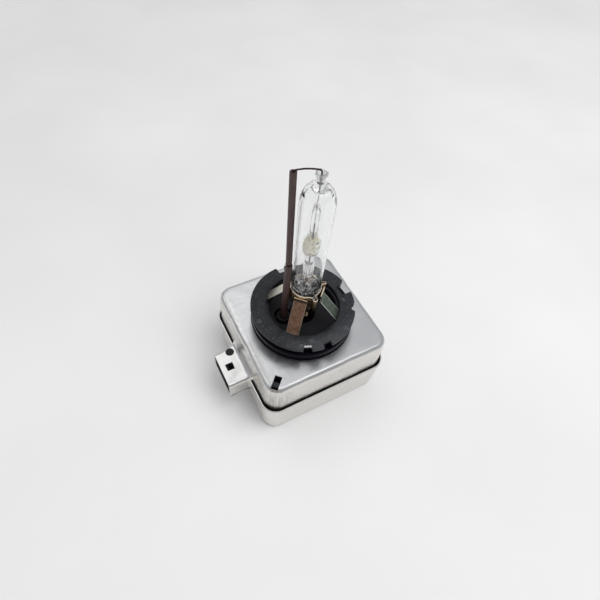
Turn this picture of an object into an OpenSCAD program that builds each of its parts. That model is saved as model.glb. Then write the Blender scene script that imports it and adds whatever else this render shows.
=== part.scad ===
// Gas-discharge headlight bulb with its igniter in a shielded square can.
// The origin is where the bulb axis crosses the reference plane, which is the
// top face of the base flange. +Z runs along the bulb to its tip, and the
// connector leaves towards -X.

/* [Glass] */
// Radius of the outer glass bulb
bulb_r = 4.5; // [4.3:0.05:4.6]
// Height of the glass tip above the reference plane
tip_z = 50; // [49:0.25:51]
// Height of the arc above the reference plane
light_z = 26.8; // [26:0.1:27.6]
// Gap between the two electrodes
arc_gap = 4.2; // [3.8:0.1:4.6]

/* [Base] */
// Radius of the locating flange
flange_r = 16.25; // [16:0.05:16.5]
// Thickness of the locating flange
flange_t = 1.4; // [1.2:0.1:1.7]
// Radius of the well around the bulb
well_r = 11.4; // [11.2:0.1:11.8]
// Depth of the well around the bulb
well_depth = 4.5; // [4:0.1:5]

/* [Can] */
// Half of the can's width across its top
can_half = 20.9; // [20.5:0.1:21.2]
// Half of the can's width at the lower shield's rim
rim_half = 22; // [21.9:0.05:22.2]
// Depth of the can's top below the reference plane
can_top = 6.6; // [6.4:0.1:6.8]
// Depth of the seam between the two shields
seam_depth = 18.4; // [18:0.1:18.8]
// Depth of the can's bottom face
can_bottom = 33.3; // [33:0.1:34]
// Thickness of the shields' sheet metal
sheet_t = 0.4; // [0.3:0.05:0.45]

/* [Connector] */
// Width of the connector's metal sleeve
sleeve_w = 13; // [12.8:0.1:13.4]
// Height of the connector's metal sleeve
sleeve_h = 7.1; // [7:0.1:7.4]
// How far the sleeve stands out from the middle of the can
sleeve_reach = 28.7; // [28.5:0.1:29.5]
// Sideways offset of the connector from the bulb axis
sleeve_y = -1.55; // [-2:0.05:-1]

/* [Hidden] */
$fn = 64;
eps = 0.02; // clearance between pieces that are fused or seated together

// Levels, from the reference plane down
well_z = -well_depth;
can_top_z = -can_top;
seam_z = -seam_depth;
bottom_z = -can_bottom;
housing_top = can_top_z - sheet_t - 0.1;
housing_low = bottom_z + 1.9;
seal_top = -3.3;
seal_r = flange_r - 0.05;
neck_r = 14.2;
pit_r = 4;        // the dark pit under the bulb
pit_floor = -14;

// Can corners, bends and walls
corner_r = 4.5;
bend_r = 1.5;
wall_flare = 0.2;
upper_rim_z = seam_z - 1.4;
low_half = rim_half - 0.7;
housing_half = can_half - 0.7;
housing_wall = 1.4;
hull_fn = 32;

// Bulb levels
bulb_low = 3.5;   // open end of the glass skirt
bulb_seal = 12.5; // where the bulb is fused to the arc tube
bulb_wall = 0.7;
stem_r = 1.05;
low_stem_r = 1.55;
chamber_r = 2.7;
chamber_half = 4.6;
cavity_r = 1.35;
cavity_half = 3.5;
stem_top = 41;
foil_turn = 56;
skirt_top = 11.5; // roof of the open skirt under the seal
electrode_r = 0.12;
foil_w = 1.5;
foil_t = 0.05;
lead_r = 0.15;
low_lead_r = 0.3;
upper_foil_z = 35;
upper_lead_z = 39;
lower_foil_z = 14.9;
lower_lead_z = 9.9;
lead_end = -16;

// Base: the ledge over the well, the boss for the return lead and the moat round it
ledge_z = -1.6;
ledge_r = well_r - 0.7;
boss_r = 2.15;
moat_r = 3.1;
moat_depth = 1.6;
mark_r = 0.75;
mark_depth = 0.12;

// Return lead: foot, joint between the two tubes, and top
foot = [-5.99, 1.16, well_z - 0.6];
joint = [-5.58, 1.39, 20];
top = [-5.76, 2.57, tip_z];
sleeve_r = 1.05;
tube_r = 0.87;
wire_r = 0.2;
wire_bore = 0.3;

// Clamp and legs
band_t = 0.26;
band_low = 4.8;
band_top = 9.8;
leg_w = 3.9;
leg_t = 0.34;
leg_angles = [-135, -45, 45, 135];

// Connector
shell_t = 0.8;
socket_back = -19;
shell_end = -17.9;
sleeve_top = seam_z + 0.9;
sleeve_low = sleeve_top - sleeve_h;
pin_pitch = 2.4;
pin_side = 0.64;
pin_tip = -24.4;
pin_z = sleeve_top - sleeve_h / 2;
stud = [-23.85, 3.4];
latch = [-25.8, sleeve_y];

// Igniter
board_top = -28;
board_t = 1.2;
core_axis = [8.5, 0, -22.2];
core_r = 3.2;
core_len = 32;
bobbin_r = 7.1;
bobbin_sections = 6;
bobbin_wall = 0.8;
potting_top = housing_low + 1.4;

// ---- shared shapes ----

module rounded_plate(half, r, h) {
    linear_extrude(h) {
        square([2 * half, 2 * (half - r)], center = true);
        square([2 * (half - r), 2 * half], center = true);
        for (sx = [-1, 1], sy = [-1, 1])
            translate([sx * (half - r), sy * (half - r)]) circle(r);
    }
}

// A block with a rounded edge at its far end, narrower there by the draft.
module can_block(rim, end, r, depth, bend) {
    hull() {
        rounded_plate(rim, r, 0.01, $fn = hull_fn);
        for (a = [0 : 22.5 : 90])
            translate([0, 0, depth - bend * (1 - sin(a)) - 0.01])
                rounded_plate(end - bend * (1 - cos(a)), r - 0.3 * bend, 0.01, $fn = hull_fn);
    }
}

module ring(r_out, r_in, z0, z1) {
    translate([0, 0, z0]) difference() {
        cylinder(r = r_out, h = z1 - z0);
        translate([0, 0, -1]) cylinder(r = r_in, h = z1 - z0 + 2);
    }
}

function arc_points(r, a0, a1, n = 8) =
    [for (i = [0 : n]) let (a = a0 + (a1 - a0) * i / n) [r * cos(a), r * sin(a)]];

// A sector of a ring, used to notch the flange.
module sector(r_in, r_out, a0, a1, z0, z1) {
    translate([0, 0, z0]) linear_extrude(z1 - z0)
        polygon(concat(arc_points(r_out, a0, a1), arc_points(r_in, a1, a0)));
}

function unit(v) = v / norm(v);

// Turns something built along +Z so that it runs from a to b.
module along(a, b) {
    d = b - a;
    translate(a)
        rotate([0, acos(d.z / norm(d)), atan2(d.y, d.x)]) children();
}

module tube_between(a, b, r_out, r_in) {
    along(a, b) ring(r_out, r_in, 0, norm(b - a));
}

// Both sides of a thin strip that follows a flat path.
function side_normal(p, i) =
    let (a = p[max(i - 1, 0)], b = p[min(i + 1, len(p) - 1)], d = unit(b - a)) [-d.y, d.x];
function strip(p, t) = concat(
    [for (i = [0 : len(p) - 1]) p[i] + side_normal(p, i) * t / 2],
    [for (i = [len(p) - 1 : -1 : 0]) p[i] - side_normal(p, i) * t / 2]);

// A round wire swept along a path of points, as one closed surface.
module swept_wire(path, r, sides = 10) {
    n = len(path);
    rings = [for (i = [0 : n - 1])
        let (t = unit(path[min(i + 1, n - 1)] - path[max(i - 1, 0)]),
             u = unit(cross(t, [0.31, -0.87, 0.38])),
             v = cross(t, u))
        for (k = [0 : sides - 1])
            path[i] + r * (cos(360 * k / sides) * u + sin(360 * k / sides) * v)];
    sides_faces = [for (i = [0 : n - 2], k = [0 : sides - 1])
        let (k2 = (k + 1) % sides, a = i * sides, b = a + sides)
        [a + k, a + k2, b + k2, b + k]];
    low_cap = [[for (k = [sides - 1 : -1 : 0]) k]];
    high_cap = [[for (k = [0 : sides - 1]) (n - 1) * sides + k]];
    polyhedron(rings, concat(low_cap, sides_faces, high_cap));
}

// ---- burner ----

// Half of a dome that ends in a neck of the given radius.
function dome(r, z, h, neck) =
    [for (a = [0 : 12 : 84]) [neck + (r - neck) * cos(a), z + h * sin(a)]];

module outer_bulb() {
    shoulder = tip_z - 9.5;
    dome_h = 5.6;
    hollow_h = 4.4;
    bore = bulb_r - bulb_wall;
    color([0.85, 0.9, 0.92, 0.35]) difference() {
        rotate_extrude() polygon(concat(
            [[0, bulb_low], [bulb_r, bulb_low]],
            dome(bulb_r, shoulder, dome_h, 1.1),
            [[0.9, tip_z - 2.7], [1.05, tip_z - 1.6], [1.45, tip_z - 0.7], [1.4, tip_z], [0, tip_z]]));
        rotate_extrude() polygon(concat(
            [[0, bulb_seal + 1], [bore, bulb_seal + 1]],
            dome(bore, shoulder - 0.2, hollow_h, 0.7),
            [[0, shoulder + hollow_h]]));
        translate([0, 0, bulb_low - 1]) cylinder(r = bore, h = skirt_top - bulb_low + 1);
        translate([0, 0, bulb_low]) cylinder(r = low_stem_r + eps, h = 12);
        cylinder(r = lead_r + eps, h = tip_z + 1);
    }
}

function chamber_outline(r, half, n = 9) =
    [for (i = [0 : n]) let (a = -72 + 144 * i / n) [r * cos(a), light_z + half * sin(a)]];

module arc_tube() {
    color([0.9, 0.92, 0.9, 0.4]) difference() {
        rotate_extrude() polygon(concat(
            [[0, bulb_low + 0.5], [low_stem_r, bulb_low + 0.5], [low_stem_r, light_z - 7.5]],
            chamber_outline(chamber_r, chamber_half),
            [[stem_r, light_z + 5.6], [stem_r, stem_top], [0, stem_top]]));
        rotate_extrude() polygon(concat(
            [[0, light_z - cavity_half + 0.1]], chamber_outline(cavity_r, cavity_half),
            [[0, light_z + cavity_half - 0.1]]));
        translate([0, 0, lower_foil_z]) cylinder(r = electrode_r + eps, h = upper_foil_z - lower_foil_z);
        foil_pocket(lower_foil_z);
        foil_pocket(upper_foil_z);
        cylinder(r = low_lead_r + eps, h = lower_lead_z + eps);
        translate([0, 0, upper_lead_z - eps]) cylinder(r = lead_r + eps, h = 12);
    }
}

module foil_pocket(z) {
    low = z == upper_foil_z ? upper_foil_z : lower_lead_z;
    high = z == upper_foil_z ? upper_lead_z : lower_foil_z;
    rotate([0, 0, foil_turn]) translate([-foil_w / 2 - eps, -foil_t / 2 - eps, low - eps])
        cube([foil_w + 2 * eps, foil_t + 2 * eps, high - low + 2 * eps]);
}

module foil(low, high) {
    color("slategray") rotate([0, 0, foil_turn]) translate([-foil_w / 2, -foil_t / 2, low])
        cube([foil_w, foil_t, high - low]);
}

module upper_foil() {
    foil(upper_foil_z, upper_lead_z);
}

module lower_foil() {
    foil(lower_lead_z, lower_foil_z);
}

module halide_fill() {
    // The salts lie as a thin ring on the chamber's lower wall.
    color([0.93, 0.9, 0.72]) rotate_extrude() polygon(concat(
        [for (a = [-56 : 8 : -16])
            [(cavity_r - 0.04) * cos(a), light_z + (cavity_half - 0.06) * sin(a)]],
        [for (a = [-16 : -8 : -56])
            [(cavity_r - 0.33) * cos(a), light_z + (cavity_half - 0.3) * sin(a)]]));
}

module upper_electrode() {
    low = light_z + arc_gap / 2;
    color("dimgray") translate([0, 0, low]) cylinder(r = electrode_r, h = upper_foil_z - low);
}

module lower_electrode() {
    color("dimgray") translate([0, 0, lower_foil_z])
        cylinder(r = electrode_r, h = light_z - arc_gap / 2 - lower_foil_z);
}

module upper_lead() {
    color("silver") translate([0, 0, upper_lead_z])
        cylinder(r = lead_r, h = tip_z - 0.6 - upper_lead_z);
}

module lower_lead() {
    color("silver") translate([0, 0, lead_end]) cylinder(r = low_lead_r, h = lower_lead_z - lead_end);
}

// ---- return lead ----

// From the tube's top the wire rises, arches across and dips into the tip.
function wire_arch(n = 12) = [for (i = [0 : n])
    let (s = i / n, rise = 0.62 * sin(180 * min(1, s * 1.25 + 0.12)))
    [top.x * (1 - s), top.y * (1 - s), tip_z + 0.3 + max(rise, 0)]];

module return_wire() {
    low = foot + unit(foot - joint) * 6;
    color([0.45, 0.33, 0.3]) swept_wire(concat(
        [low, joint - [0, 0, 0.4], joint + [0, 0, 0.4], top - [0, 0, 0.3], top + [0.05, 0, 0.12]],
        [for (p = wire_arch()) if (p.x > top.x + 0.3 && p.x < -0.4) p],
        [[-0.08, 0.03, tip_z + 0.22], [0, 0, tip_z - 0.1], [0, 0, tip_z - 0.6]]), wire_r);
}

module return_tube_upper() {
    color([0.29, 0.22, 0.21]) tube_between(joint + [0, 0, 0.3], top, tube_r, wire_bore);
}

module return_tube_lower() {
    color([0.27, 0.19, 0.19]) tube_between(foot, joint, sleeve_r, wire_bore);
}

// ---- clamp and legs ----

// The band's centre line: a ring with one rounded tension loop.
band_mid_r = bulb_r + eps + band_t / 2 + 0.01;
loop_angle = -91;
loop_out = 6.15;
function band_path() = concat(
    [for (a = [loop_angle + 12 : 6 : loop_angle + 348]) band_mid_r * [cos(a), sin(a)]],
    [for (p = [[5.3, -0.6], [5.65, -0.66]]) turned(p, loop_angle)],
    [for (a = [-100 : 25 : 100]) turned([loop_out - 0.35 + 0.62 * cos(a), 0.66 * sin(a)], loop_angle)],
    [for (p = [[5.65, 0.66], [5.3, 0.6]]) turned(p, loop_angle)]);
function turned(p, a) = [p.x * cos(a) - p.y * sin(a), p.x * sin(a) + p.y * cos(a)];

module clamp_ring() {
    flap_angle = -17;
    color("goldenrod") difference() {
        translate([0, 0, band_low]) linear_extrude(band_top - band_low) {
            difference() {
                polygon([for (i = [0 : len(band_path()) - 1]) band_path()[i]
                    + closed_normal(band_path(), i) * -band_t / 2]);
                polygon([for (i = [0 : len(band_path()) - 1]) band_path()[i]
                    + closed_normal(band_path(), i) * band_t / 2]);
            }
            rotate(flap_angle) for (side = [-0.32, 0.32])
                translate([band_mid_r, side - band_t / 2]) square([1.35, band_t]);
        }
        translate([0, 0, band_low - 1]) cylinder(r = bulb_r + eps, h = band_top - band_low + 2);
    }
}

function closed_normal(p, i) =
    let (n = len(p), d = unit(p[(i + 1) % n] - p[(i + n - 1) % n])) [-d.y, d.x];

// A flat tab welded to the band, then a straight slope out to the flange.
tab_x = bulb_r + band_t + leg_t / 2 + 0.1;
function leg_path() = [[tab_x, 8.8], [tab_x, 7.7], [tab_x + 0.12, 7.3], [10.75, -0.28], [11.0, -0.5],
    [11.3, -0.6], [12.2, -0.6]];

module leg(angle) {
    color([0.72, 0.66, 0.56]) rotate([0, 0, angle]) rotate([90, 0, 0])
        linear_extrude(leg_w, center = true) polygon(strip(leg_path(), leg_t));
}

// ---- base ----

// Keying notches through the rim: two with their sides along X, seen from above,
// and three cut square to the rim, each with its inner radius and its two end angles.
wide_notch = [[12.7, -2.05], [18, -2.05], [18, 4.7], [15.9, 2.8], [14.3, 1.4], [12.7, 1.6]];
small_notch = [[12.9, -8.4], [16, -12], [18, -4], [15, -6.2], [14.2, -6.9], [12.9, -6.9]];
square_notches = [[14.1, 85, 94.7], [14.7, -95, -85.6], [14.9, -117.6, -108.3]];

// Radius and angle of each shallow ejector mark
marks = [[13.3, -106.6], [14.8, -120.4], [12.8, -17.5], [14.85, 180], [15.2, -60], [15.2, 60]];

module at_foot(z) {
    translate([foot.x, foot.y, z]) children();
}

module base_ring() {
    color([0.2, 0.21, 0.23]) difference() {
        union() {
            translate([0, 0, -flange_t]) cylinder(r = flange_r, h = flange_t);
            translate([0, 0, housing_top]) cylinder(r = neck_r, h = -housing_top - flange_t / 2);
        }
        translate([0, 0, ledge_z]) cylinder(r = well_r, h = 3);
        difference() {
            translate([0, 0, well_z]) cylinder(r = ledge_r, h = 8);
            at_foot(well_z - 1) cylinder(r = boss_r, h = 1.5);
        }
        translate([0, 0, housing_top - 1]) cylinder(r = pit_r, h = 9);
        difference() {
            at_foot(well_z - moat_depth) cylinder(r = moat_r, h = moat_depth + 0.4);
            at_foot(well_z - moat_depth - 1) cylinder(r = boss_r, h = 3);
        }
        at_foot(housing_top - 1) cylinder(r = sleeve_r + 0.12, h = 8);
        translate([0, 0, -flange_t - 0.1]) linear_extrude(flange_t + 1) {
            polygon(wide_notch);
            polygon(small_notch);
        }
        for (notch = square_notches)
            sector(notch[0], 18, notch[1], notch[2], -flange_t - 0.1, 1);
        for (mark = marks)
            rotate([0, 0, mark[1]]) translate([mark[0], 0, -mark_depth]) ring(mark_r, mark_r - 0.25, 0, 1);
        for (a = leg_angles)
            rotate([0, 0, a]) translate([10.9, -leg_w / 2 - 0.1, -0.95]) cube([1.6, leg_w + 0.2, 0.7]);
    }
}

module seal_ring() {
    low = can_top_z + 0.02;
    r_in = neck_r + 0.03;
    color([0.06, 0.07, 0.1]) rotate_extrude() polygon([
        [r_in, low], [seal_r, low], [seal_r, low + 0.5], [seal_r - 0.25, low + 0.8],
        [seal_r - 0.12, low + 1.2], [seal_r - 0.12, seal_top - 0.4],
        [seal_r - 0.5, seal_top], [r_in, seal_top]]);
}

// ---- shields ----

module upper_can(inset) {
    translate([0, 0, upper_rim_z])
        can_block(can_half + wall_flare - inset, can_half - inset, corner_r + 0.3 - inset / 2,
            can_top_z - inset - upper_rim_z, bend_r - inset / 2);
}

module sleeve_block(inset, x_in, low) {
    translate([-sleeve_reach - 1, sleeve_y - sleeve_w / 2 + inset, low])
        cube([sleeve_reach + 1 + x_in, sleeve_w - 2 * inset, sleeve_top - inset - low]);
}

module upper_shield() {
    wall_x = -can_half - wall_flare;
    color("silver") difference() {
        union() {
            difference() {
                upper_can(0);
                translate([0, 0, -0.02]) upper_can(sheet_t);
                translate([0, 0, upper_rim_z - 1]) cylinder(r = neck_r + 0.5, h = 20);
            }
            intersection() {
                sleeve_block(0, wall_x + 0.3, sleeve_top - 6.3);
                translate([-sleeve_reach, -20, -40]) cube([sleeve_reach + wall_x + 0.3, 40, 40]);
            }
            translate([stud.x, stud.y, sleeve_top - sheet_t]) cylinder(r = 2, h = sheet_t);
            // gussets where the sleeve is drawn out of the can wall
            translate([0, 0, sleeve_top - sheet_t]) linear_extrude(sheet_t) polygon([
                [wall_x + 0.2, sleeve_y - sleeve_w / 2 - 0.9], [wall_x - 1, sleeve_y - sleeve_w / 2],
                [wall_x - 2.4, sleeve_y + sleeve_w / 2], [wall_x + 0.2, sleeve_y + sleeve_w / 2 + 1.6]]);
        }
        sleeve_block(sheet_t, -18, sleeve_top - 9);
        translate([stud.x, stud.y, sleeve_top - 3]) cylinder(r = 1.4, h = 5);
        translate([latch.x - 1.25, latch.y - 1.25, sleeve_top - 2]) cube([2.5, 2.5, 4]);
        rotate([0, 0, -135]) translate([22.6, -1.1, can_top_z - 3]) cube([4.3, 2.2, 5]);
    }
}

module lower_can(inset) {
    translate([0, 0, seam_z]) mirror([0, 0, 1])
        can_block(rim_half - inset, low_half - inset, corner_r + 0.6 - inset / 2,
            seam_z - bottom_z - inset, bend_r - inset / 2);
}

module lower_shield() {
    plate_z = sleeve_low - 0.05;
    half_w = sleeve_w / 2 + 0.15;
    color("gainsboro") difference() {
        union() {
            difference() {
                lower_can(0);
                translate([0, 0, 0.02]) lower_can(sheet_t);
            }
            translate([-sleeve_reach + 0.2, sleeve_y - half_w, plate_z - sheet_t])
                cube([sleeve_reach - rim_half + 0.6, 2 * half_w, sheet_t]);
        }
        translate([-rim_half - 1, sleeve_y - half_w - 0.25, plate_z])
            cube([3, 2 * half_w + 0.5, seam_z - plate_z + 1]);
    }
}

// ---- igniter housing and connector ----

module igniter_housing() {
    height = housing_top - housing_low;
    color([0.12, 0.12, 0.13]) difference() {
        union() {
            translate([0, 0, housing_low]) rounded_plate(housing_half, corner_r - 0.6, height - 1.3);
            translate([0, 0, housing_top - 1.4]) rounded_plate(housing_half - 1.2, corner_r - 1.5, 1.4);
            // tongue that keys the upper shield's corner slot
            rotate([0, 0, -135]) translate([24.6, -0.95, housing_top - 0.5]) cube([1.5, 1.9, 0.85]);
        }
        difference() {
            translate([0, 0, housing_low - 1])
                rounded_plate(housing_half - housing_wall, corner_r - 1.6, height - 1.5 + 1);
            translate([0, 0, pit_floor - 1.2]) cylinder(r = pit_r + 1, h = 20);
        }
        translate([0, 0, pit_floor]) cylinder(r = pit_r, h = 20);
        translate([0, 0, pit_floor - 3]) cylinder(r = low_lead_r + 0.2, h = 5);
        translate([foot.x, foot.y, housing_top - 3]) cylinder(r = 0.6, h = 5);
        rotate([0, 0, -135]) translate([22.7, -1, housing_top - 4]) cube([1.7, 2, 5]);
        translate([-25, sleeve_y - sleeve_w / 2 + 0.35, sleeve_low - 0.1])
            cube([8, sleeve_w - 0.7, sleeve_h - 0.3]);
        translate([housing_half - 2, -2.2, -16.9]) cube([3, 4.4, 0.6]);
    }
}

module housing_cover() {
    low = bottom_z + sheet_t + 0.25;
    color([0.14, 0.14, 0.15]) union() {
        translate([0, 0, low]) rounded_plate(housing_half - 0.3, corner_r - 0.6, housing_low - eps - low);
        translate([0, 0, low]) difference() {
            rounded_plate(housing_half - housing_wall - 0.1, corner_r - 1.7, housing_low - low + 0.6);
            translate([0, 0, 1]) rounded_plate(housing_half - housing_wall - 1.3, corner_r - 2.4, 3);
        }
    }
}

module connector_shell() {
    low = sleeve_low + 0.05;
    height = sleeve_top - sheet_t - 0.1 - low;
    width = sleeve_w - 2 * sheet_t - 0.2;
    color([0.1, 0.1, 0.11]) difference() {
        union() {
            translate([-sleeve_reach + 0.1, sleeve_y - width / 2, low])
                cube([sleeve_reach - 0.1 + shell_end, width, height]);
            translate([stud.x, stud.y, low + height - 0.2]) cylinder(r = 1.22, h = 0.62);
        }
        translate([-sleeve_reach - 1, sleeve_y - width / 2 + shell_t, low + shell_t])
            cube([sleeve_reach + 1 + socket_back, width - 2 * shell_t, height - 2 * shell_t]);
        translate([latch.x - 1.1, latch.y - 1.1, low + height - 2]) cube([2.2, 2.2, 4]);
        for (i = [1 : 4])
            translate([socket_back - 1, pin_y(i) - pin_side / 2 - eps, pin_z - pin_side / 2 - eps])
                cube([4, pin_side + 2 * eps, pin_side + 2 * eps]);
    }
}

function pin_y(i) = sleeve_y + (i - 2.5) * pin_pitch;

module contact_pin(i) {
    drop_x = -17.2;
    color("gold") translate([0, pin_y(i) - pin_side / 2, 0]) {
        translate([pin_tip, 0, pin_z - pin_side / 2]) cube([drop_x + pin_side - pin_tip, pin_side, pin_side]);
        translate([drop_x, 0, board_top]) cube([pin_side, pin_side, pin_z - board_top]);
    }
}

// ---- igniter electronics ----

module circuit_board() {
    color("darkgreen") translate([-18, -17, board_top - board_t]) cube([18.2, 34, board_t - eps]);
}

module on_core_axis() {
    translate(core_axis) rotate([90, 0, 0]) children();
}

module transformer_core() {
    color([0.25, 0.24, 0.24]) on_core_axis() cylinder(r = core_r, h = core_len, center = true);
}

section_pitch = (core_len - 1) / bobbin_sections;
bobbin_half = (core_len - 1) / 2;

module transformer_bobbin() {
    color("ivory") on_core_axis() difference() {
        union() {
            cylinder(r = core_r + 0.8, h = 2 * bobbin_half, center = true);
            for (i = [0 : bobbin_sections])
                translate([0, 0, -bobbin_half + i * section_pitch - bobbin_wall * i / bobbin_sections])
                    cylinder(r = bobbin_r, h = bobbin_wall);
        }
        cylinder(r = core_r + eps, h = core_len + 2, center = true);
    }
}

module secondary_winding() {
    color("peru") on_core_axis() for (i = [0 : bobbin_sections - 1])
        translate([0, 0, -bobbin_half + i * section_pitch + 0.85])
            ring(bobbin_r - 0.9, core_r + 0.8 + eps, 0, section_pitch - 1.7);
}

module primary_winding() {
    color("orangered") on_core_axis() for (i = [0 : 3])
        translate([0, 0, -7.2 + i * 4]) ring(bobbin_r + 0.4, bobbin_r + eps, 0, 2.4);
}

gap_at = [-8, -11.3, board_top + 4.1];

module spark_gap_tube() {
    color("whitesmoke") translate(gap_at) rotate([90, 0, 0]) ring(3.6, 2.9, -2.6, 2.6);
}

module spark_gap_caps() {
    color("silver") translate(gap_at) rotate([90, 0, 0]) for (side = [0, 1]) mirror([0, 0, side]) {
        translate([0, 0, 2.62]) cylinder(r = 4, h = 0.9);
        translate([0, 0, 0.5]) cylinder(r = 1.4, h = 2.4);
    }
}

module pulse_capacitor() {
    color("steelblue") translate([-16, 6.6, board_top + eps]) cube([14, 10, 9]);
}

module bleed_resistor() {
    color("tan") translate([-12, -2, board_top + 1.5]) rotate([0, 90, 0])
        cylinder(r = 1.2, h = 5, center = true);
    color("silver") translate([-12, -2, board_top]) for (side = [-1, 1]) {
        translate([side * 3.4, 0, 0]) cylinder(r = 0.25, h = 1.75);
        translate([side * 2.95, 0, 1.5]) rotate([0, 90, 0]) cylinder(r = 0.25, h = 1.1, center = true);
    }
}

module hv_strap() {
    strap = 0.6;
    color("gold") {
        difference() {
            translate([0, 0, lead_end - 1]) cylinder(r = 0.9, h = 1.7);
            translate([0, 0, lead_end - eps]) cylinder(r = low_lead_r + eps, h = 3);
        }
        translate([-strap / 2, -0.8, -24]) cube([strap, 1.6, lead_end - 0.8 + 24]);
        translate([-strap / 2, -0.8, -24]) cube([strap, core_len / 2 + 0.8 + eps + strap, 3]);
        translate([-strap / 2, core_len / 2 + eps, -24]) cube([9, strap, 3]);
    }
}

module return_contact() {
    low_x = foot.x - 0.3;
    color("gold") translate([low_x, foot.y - 0.7, board_top]) cube([0.4, 1.4, 16.8]);
}

module potting() {
    color([0.35, 0.33, 0.3]) translate([0, 0, housing_low + 0.7])
        rounded_plate(housing_half - housing_wall - 0.1, corner_r - 1.7, potting_top - housing_low - 0.7);
}

module shield_spring() {
    color("gold") {
        translate([housing_half + 0.05, -2, -16.7]) cube([0.2, 4, 6]);
        translate([housing_half - 3, -2, -16.7]) cube([3.25, 4, 0.2]);
    }
}

outer_bulb();
arc_tube();
halide_fill();
upper_electrode();
lower_electrode();
upper_foil();
lower_foil();
upper_lead();
lower_lead();
return_wire();
return_tube_upper();
return_tube_lower();
clamp_ring();
leg(leg_angles[0]);  // leg_1
leg(leg_angles[1]);  // leg_2
leg(leg_angles[2]);  // leg_3
leg(leg_angles[3]);  // leg_4
base_ring();
seal_ring();
upper_shield();
lower_shield();
igniter_housing();
housing_cover();
connector_shell();
contact_pin(1);  // contact_pin_1
contact_pin(2);  // contact_pin_2
contact_pin(3);  // contact_pin_3
contact_pin(4);  // contact_pin_4
circuit_board();
transformer_core();
transformer_bobbin();
secondary_winding();
primary_winding();
spark_gap_tube();
spark_gap_caps();
pulse_capacitor();
bleed_resistor();
hv_strap();
return_contact();
potting();
shield_spring();
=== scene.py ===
"""The looks of the gas-discharge headlight bulb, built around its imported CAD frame.

Lengths in this script are millimetres in the part's own frame; MM turns them into metres. Angles are degrees.
"""

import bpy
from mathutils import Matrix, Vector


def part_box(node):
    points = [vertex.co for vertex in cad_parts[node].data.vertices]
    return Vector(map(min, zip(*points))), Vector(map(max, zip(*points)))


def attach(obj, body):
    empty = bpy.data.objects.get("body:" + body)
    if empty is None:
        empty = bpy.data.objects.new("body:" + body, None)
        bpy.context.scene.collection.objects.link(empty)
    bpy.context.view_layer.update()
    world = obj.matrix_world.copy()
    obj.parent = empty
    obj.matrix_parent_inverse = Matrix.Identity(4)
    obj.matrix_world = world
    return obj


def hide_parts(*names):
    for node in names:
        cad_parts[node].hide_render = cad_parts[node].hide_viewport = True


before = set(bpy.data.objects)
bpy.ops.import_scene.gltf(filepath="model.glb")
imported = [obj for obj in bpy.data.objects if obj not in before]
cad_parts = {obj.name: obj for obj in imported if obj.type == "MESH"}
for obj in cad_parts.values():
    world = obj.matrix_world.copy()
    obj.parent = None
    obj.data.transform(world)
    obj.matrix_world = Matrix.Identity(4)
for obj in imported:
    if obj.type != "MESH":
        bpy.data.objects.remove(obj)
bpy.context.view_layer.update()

import math
from contextlib import contextmanager

import bmesh
import bpy
from mathutils import Matrix, Vector, noise

MM = 0.001


def node_box(node):
    """A CAD node's lowest and highest corners, in millimetres."""
    low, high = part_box(node)
    return low / MM, high / MM


def cosd(degrees):
    return math.cos(math.radians(degrees))


def sind(degrees):
    return math.sin(math.radians(degrees))


# ---- sizes, the CAD nodes' own read from the frame ----

flange_low = node_box("base_ring")[0]
seal_low, seal_high = node_box("seal_ring")
can_low, can_high = node_box("upper_shield")
tray_low, tray_high = node_box("lower_shield")
shell_low, shell_high = node_box("connector_shell")
band_low, band_high = node_box("clamp_ring")

FLANGE_R = -flange_low.x
FLANGE_T = 1.4
BASE_LOW = flange_low.z
WELL_R = 11.4
WELL_Z = -4.5
LEDGE_R = 10.7
LEDGE_Z = -1.6
PIT_R = 4.0
NECK_R = 14.2
LEG_ANGLES = (-135, -45, 45, 135)

SHEET = 0.4
BEND = 1.5
CAN_TOP = can_high.z
CAN_RIM = -19.8
CAN_HALF = 20.9
CAN_RIM_HALF = can_high.x
CAN_CORNER = 4.8
TRAY_LOW = tray_low.z
TRAY_TOP = tray_high.z
TRAY_HALF = tray_high.x
TRAY_CORNER = 5.1
SLEEVE_X = can_low.x
SLEEVE_Y = -1.55
SLEEVE_W = 13.0
SLEEVE_TOP = -17.5
SLEEVE_SKIRT = -23.8
SLEEVE_FLOOR = -24.65
# Where the sleeve starts to flare on its far and near side, as distances from the axis
FLARE_FAR, FLARE_NEAR = 26.4, 22.7
STUD = (-23.85, 3.4)
LATCH = (-25.8, SLEEVE_Y)

BULB_R = 4.5
JACKET_WALL = 0.5
TIP_Z = node_box("outer_bulb")[1].z
LIGHT_Z = 26.8
STEM_R = 1.05
STEM_TOP = 41.0
LOW_STEM_R = 1.55
CAVITY_R = 1.37
CAVITY_HALF = 3.55
FOOT = Vector((-5.99, 1.16, WELL_Z - 0.6))
JOINT = Vector((-5.58, 1.39, 20.0))
TUBE_TOP = Vector((-5.76, 2.57, TIP_Z))

BAND_LOW = band_low.z
BAND_TOP = band_high.z
BAND_T = 0.16
BAND_R = BULB_R + 0.03 + BAND_T / 2
LOOP_ANGLE = -91
FLAP_ANGLE = -17
TAB_LOW = 7.3
TAB_TOP = 8.66

# Radius and angle of each ejector mark in the flange, then the marks' own two radii and their depth
MARKS = [(13.3, -106.6), (14.8, -120.4), (12.85, -17.2), (14.85, 180), (15.2, -60), (15.2, 60)]
MARK_R, MARK_INNER_R, MARK_DEPTH = 0.75, 0.5, 0.12


# ---- mesh helpers ----

def unit(value):
    """The value, held between 0 and 1."""
    return min(max(value, 0), 1)


def polar(radius, degrees, z=None):
    x, y = radius * cosd(degrees), radius * sind(degrees)
    return (x, y) if z is None else (x, y, z)


def heading(path, i):
    """The direction of a path at one of its points."""
    return (path[min(i + 1, len(path) - 1)] - path[max(i - 1, 0)]).normalized()


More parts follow.
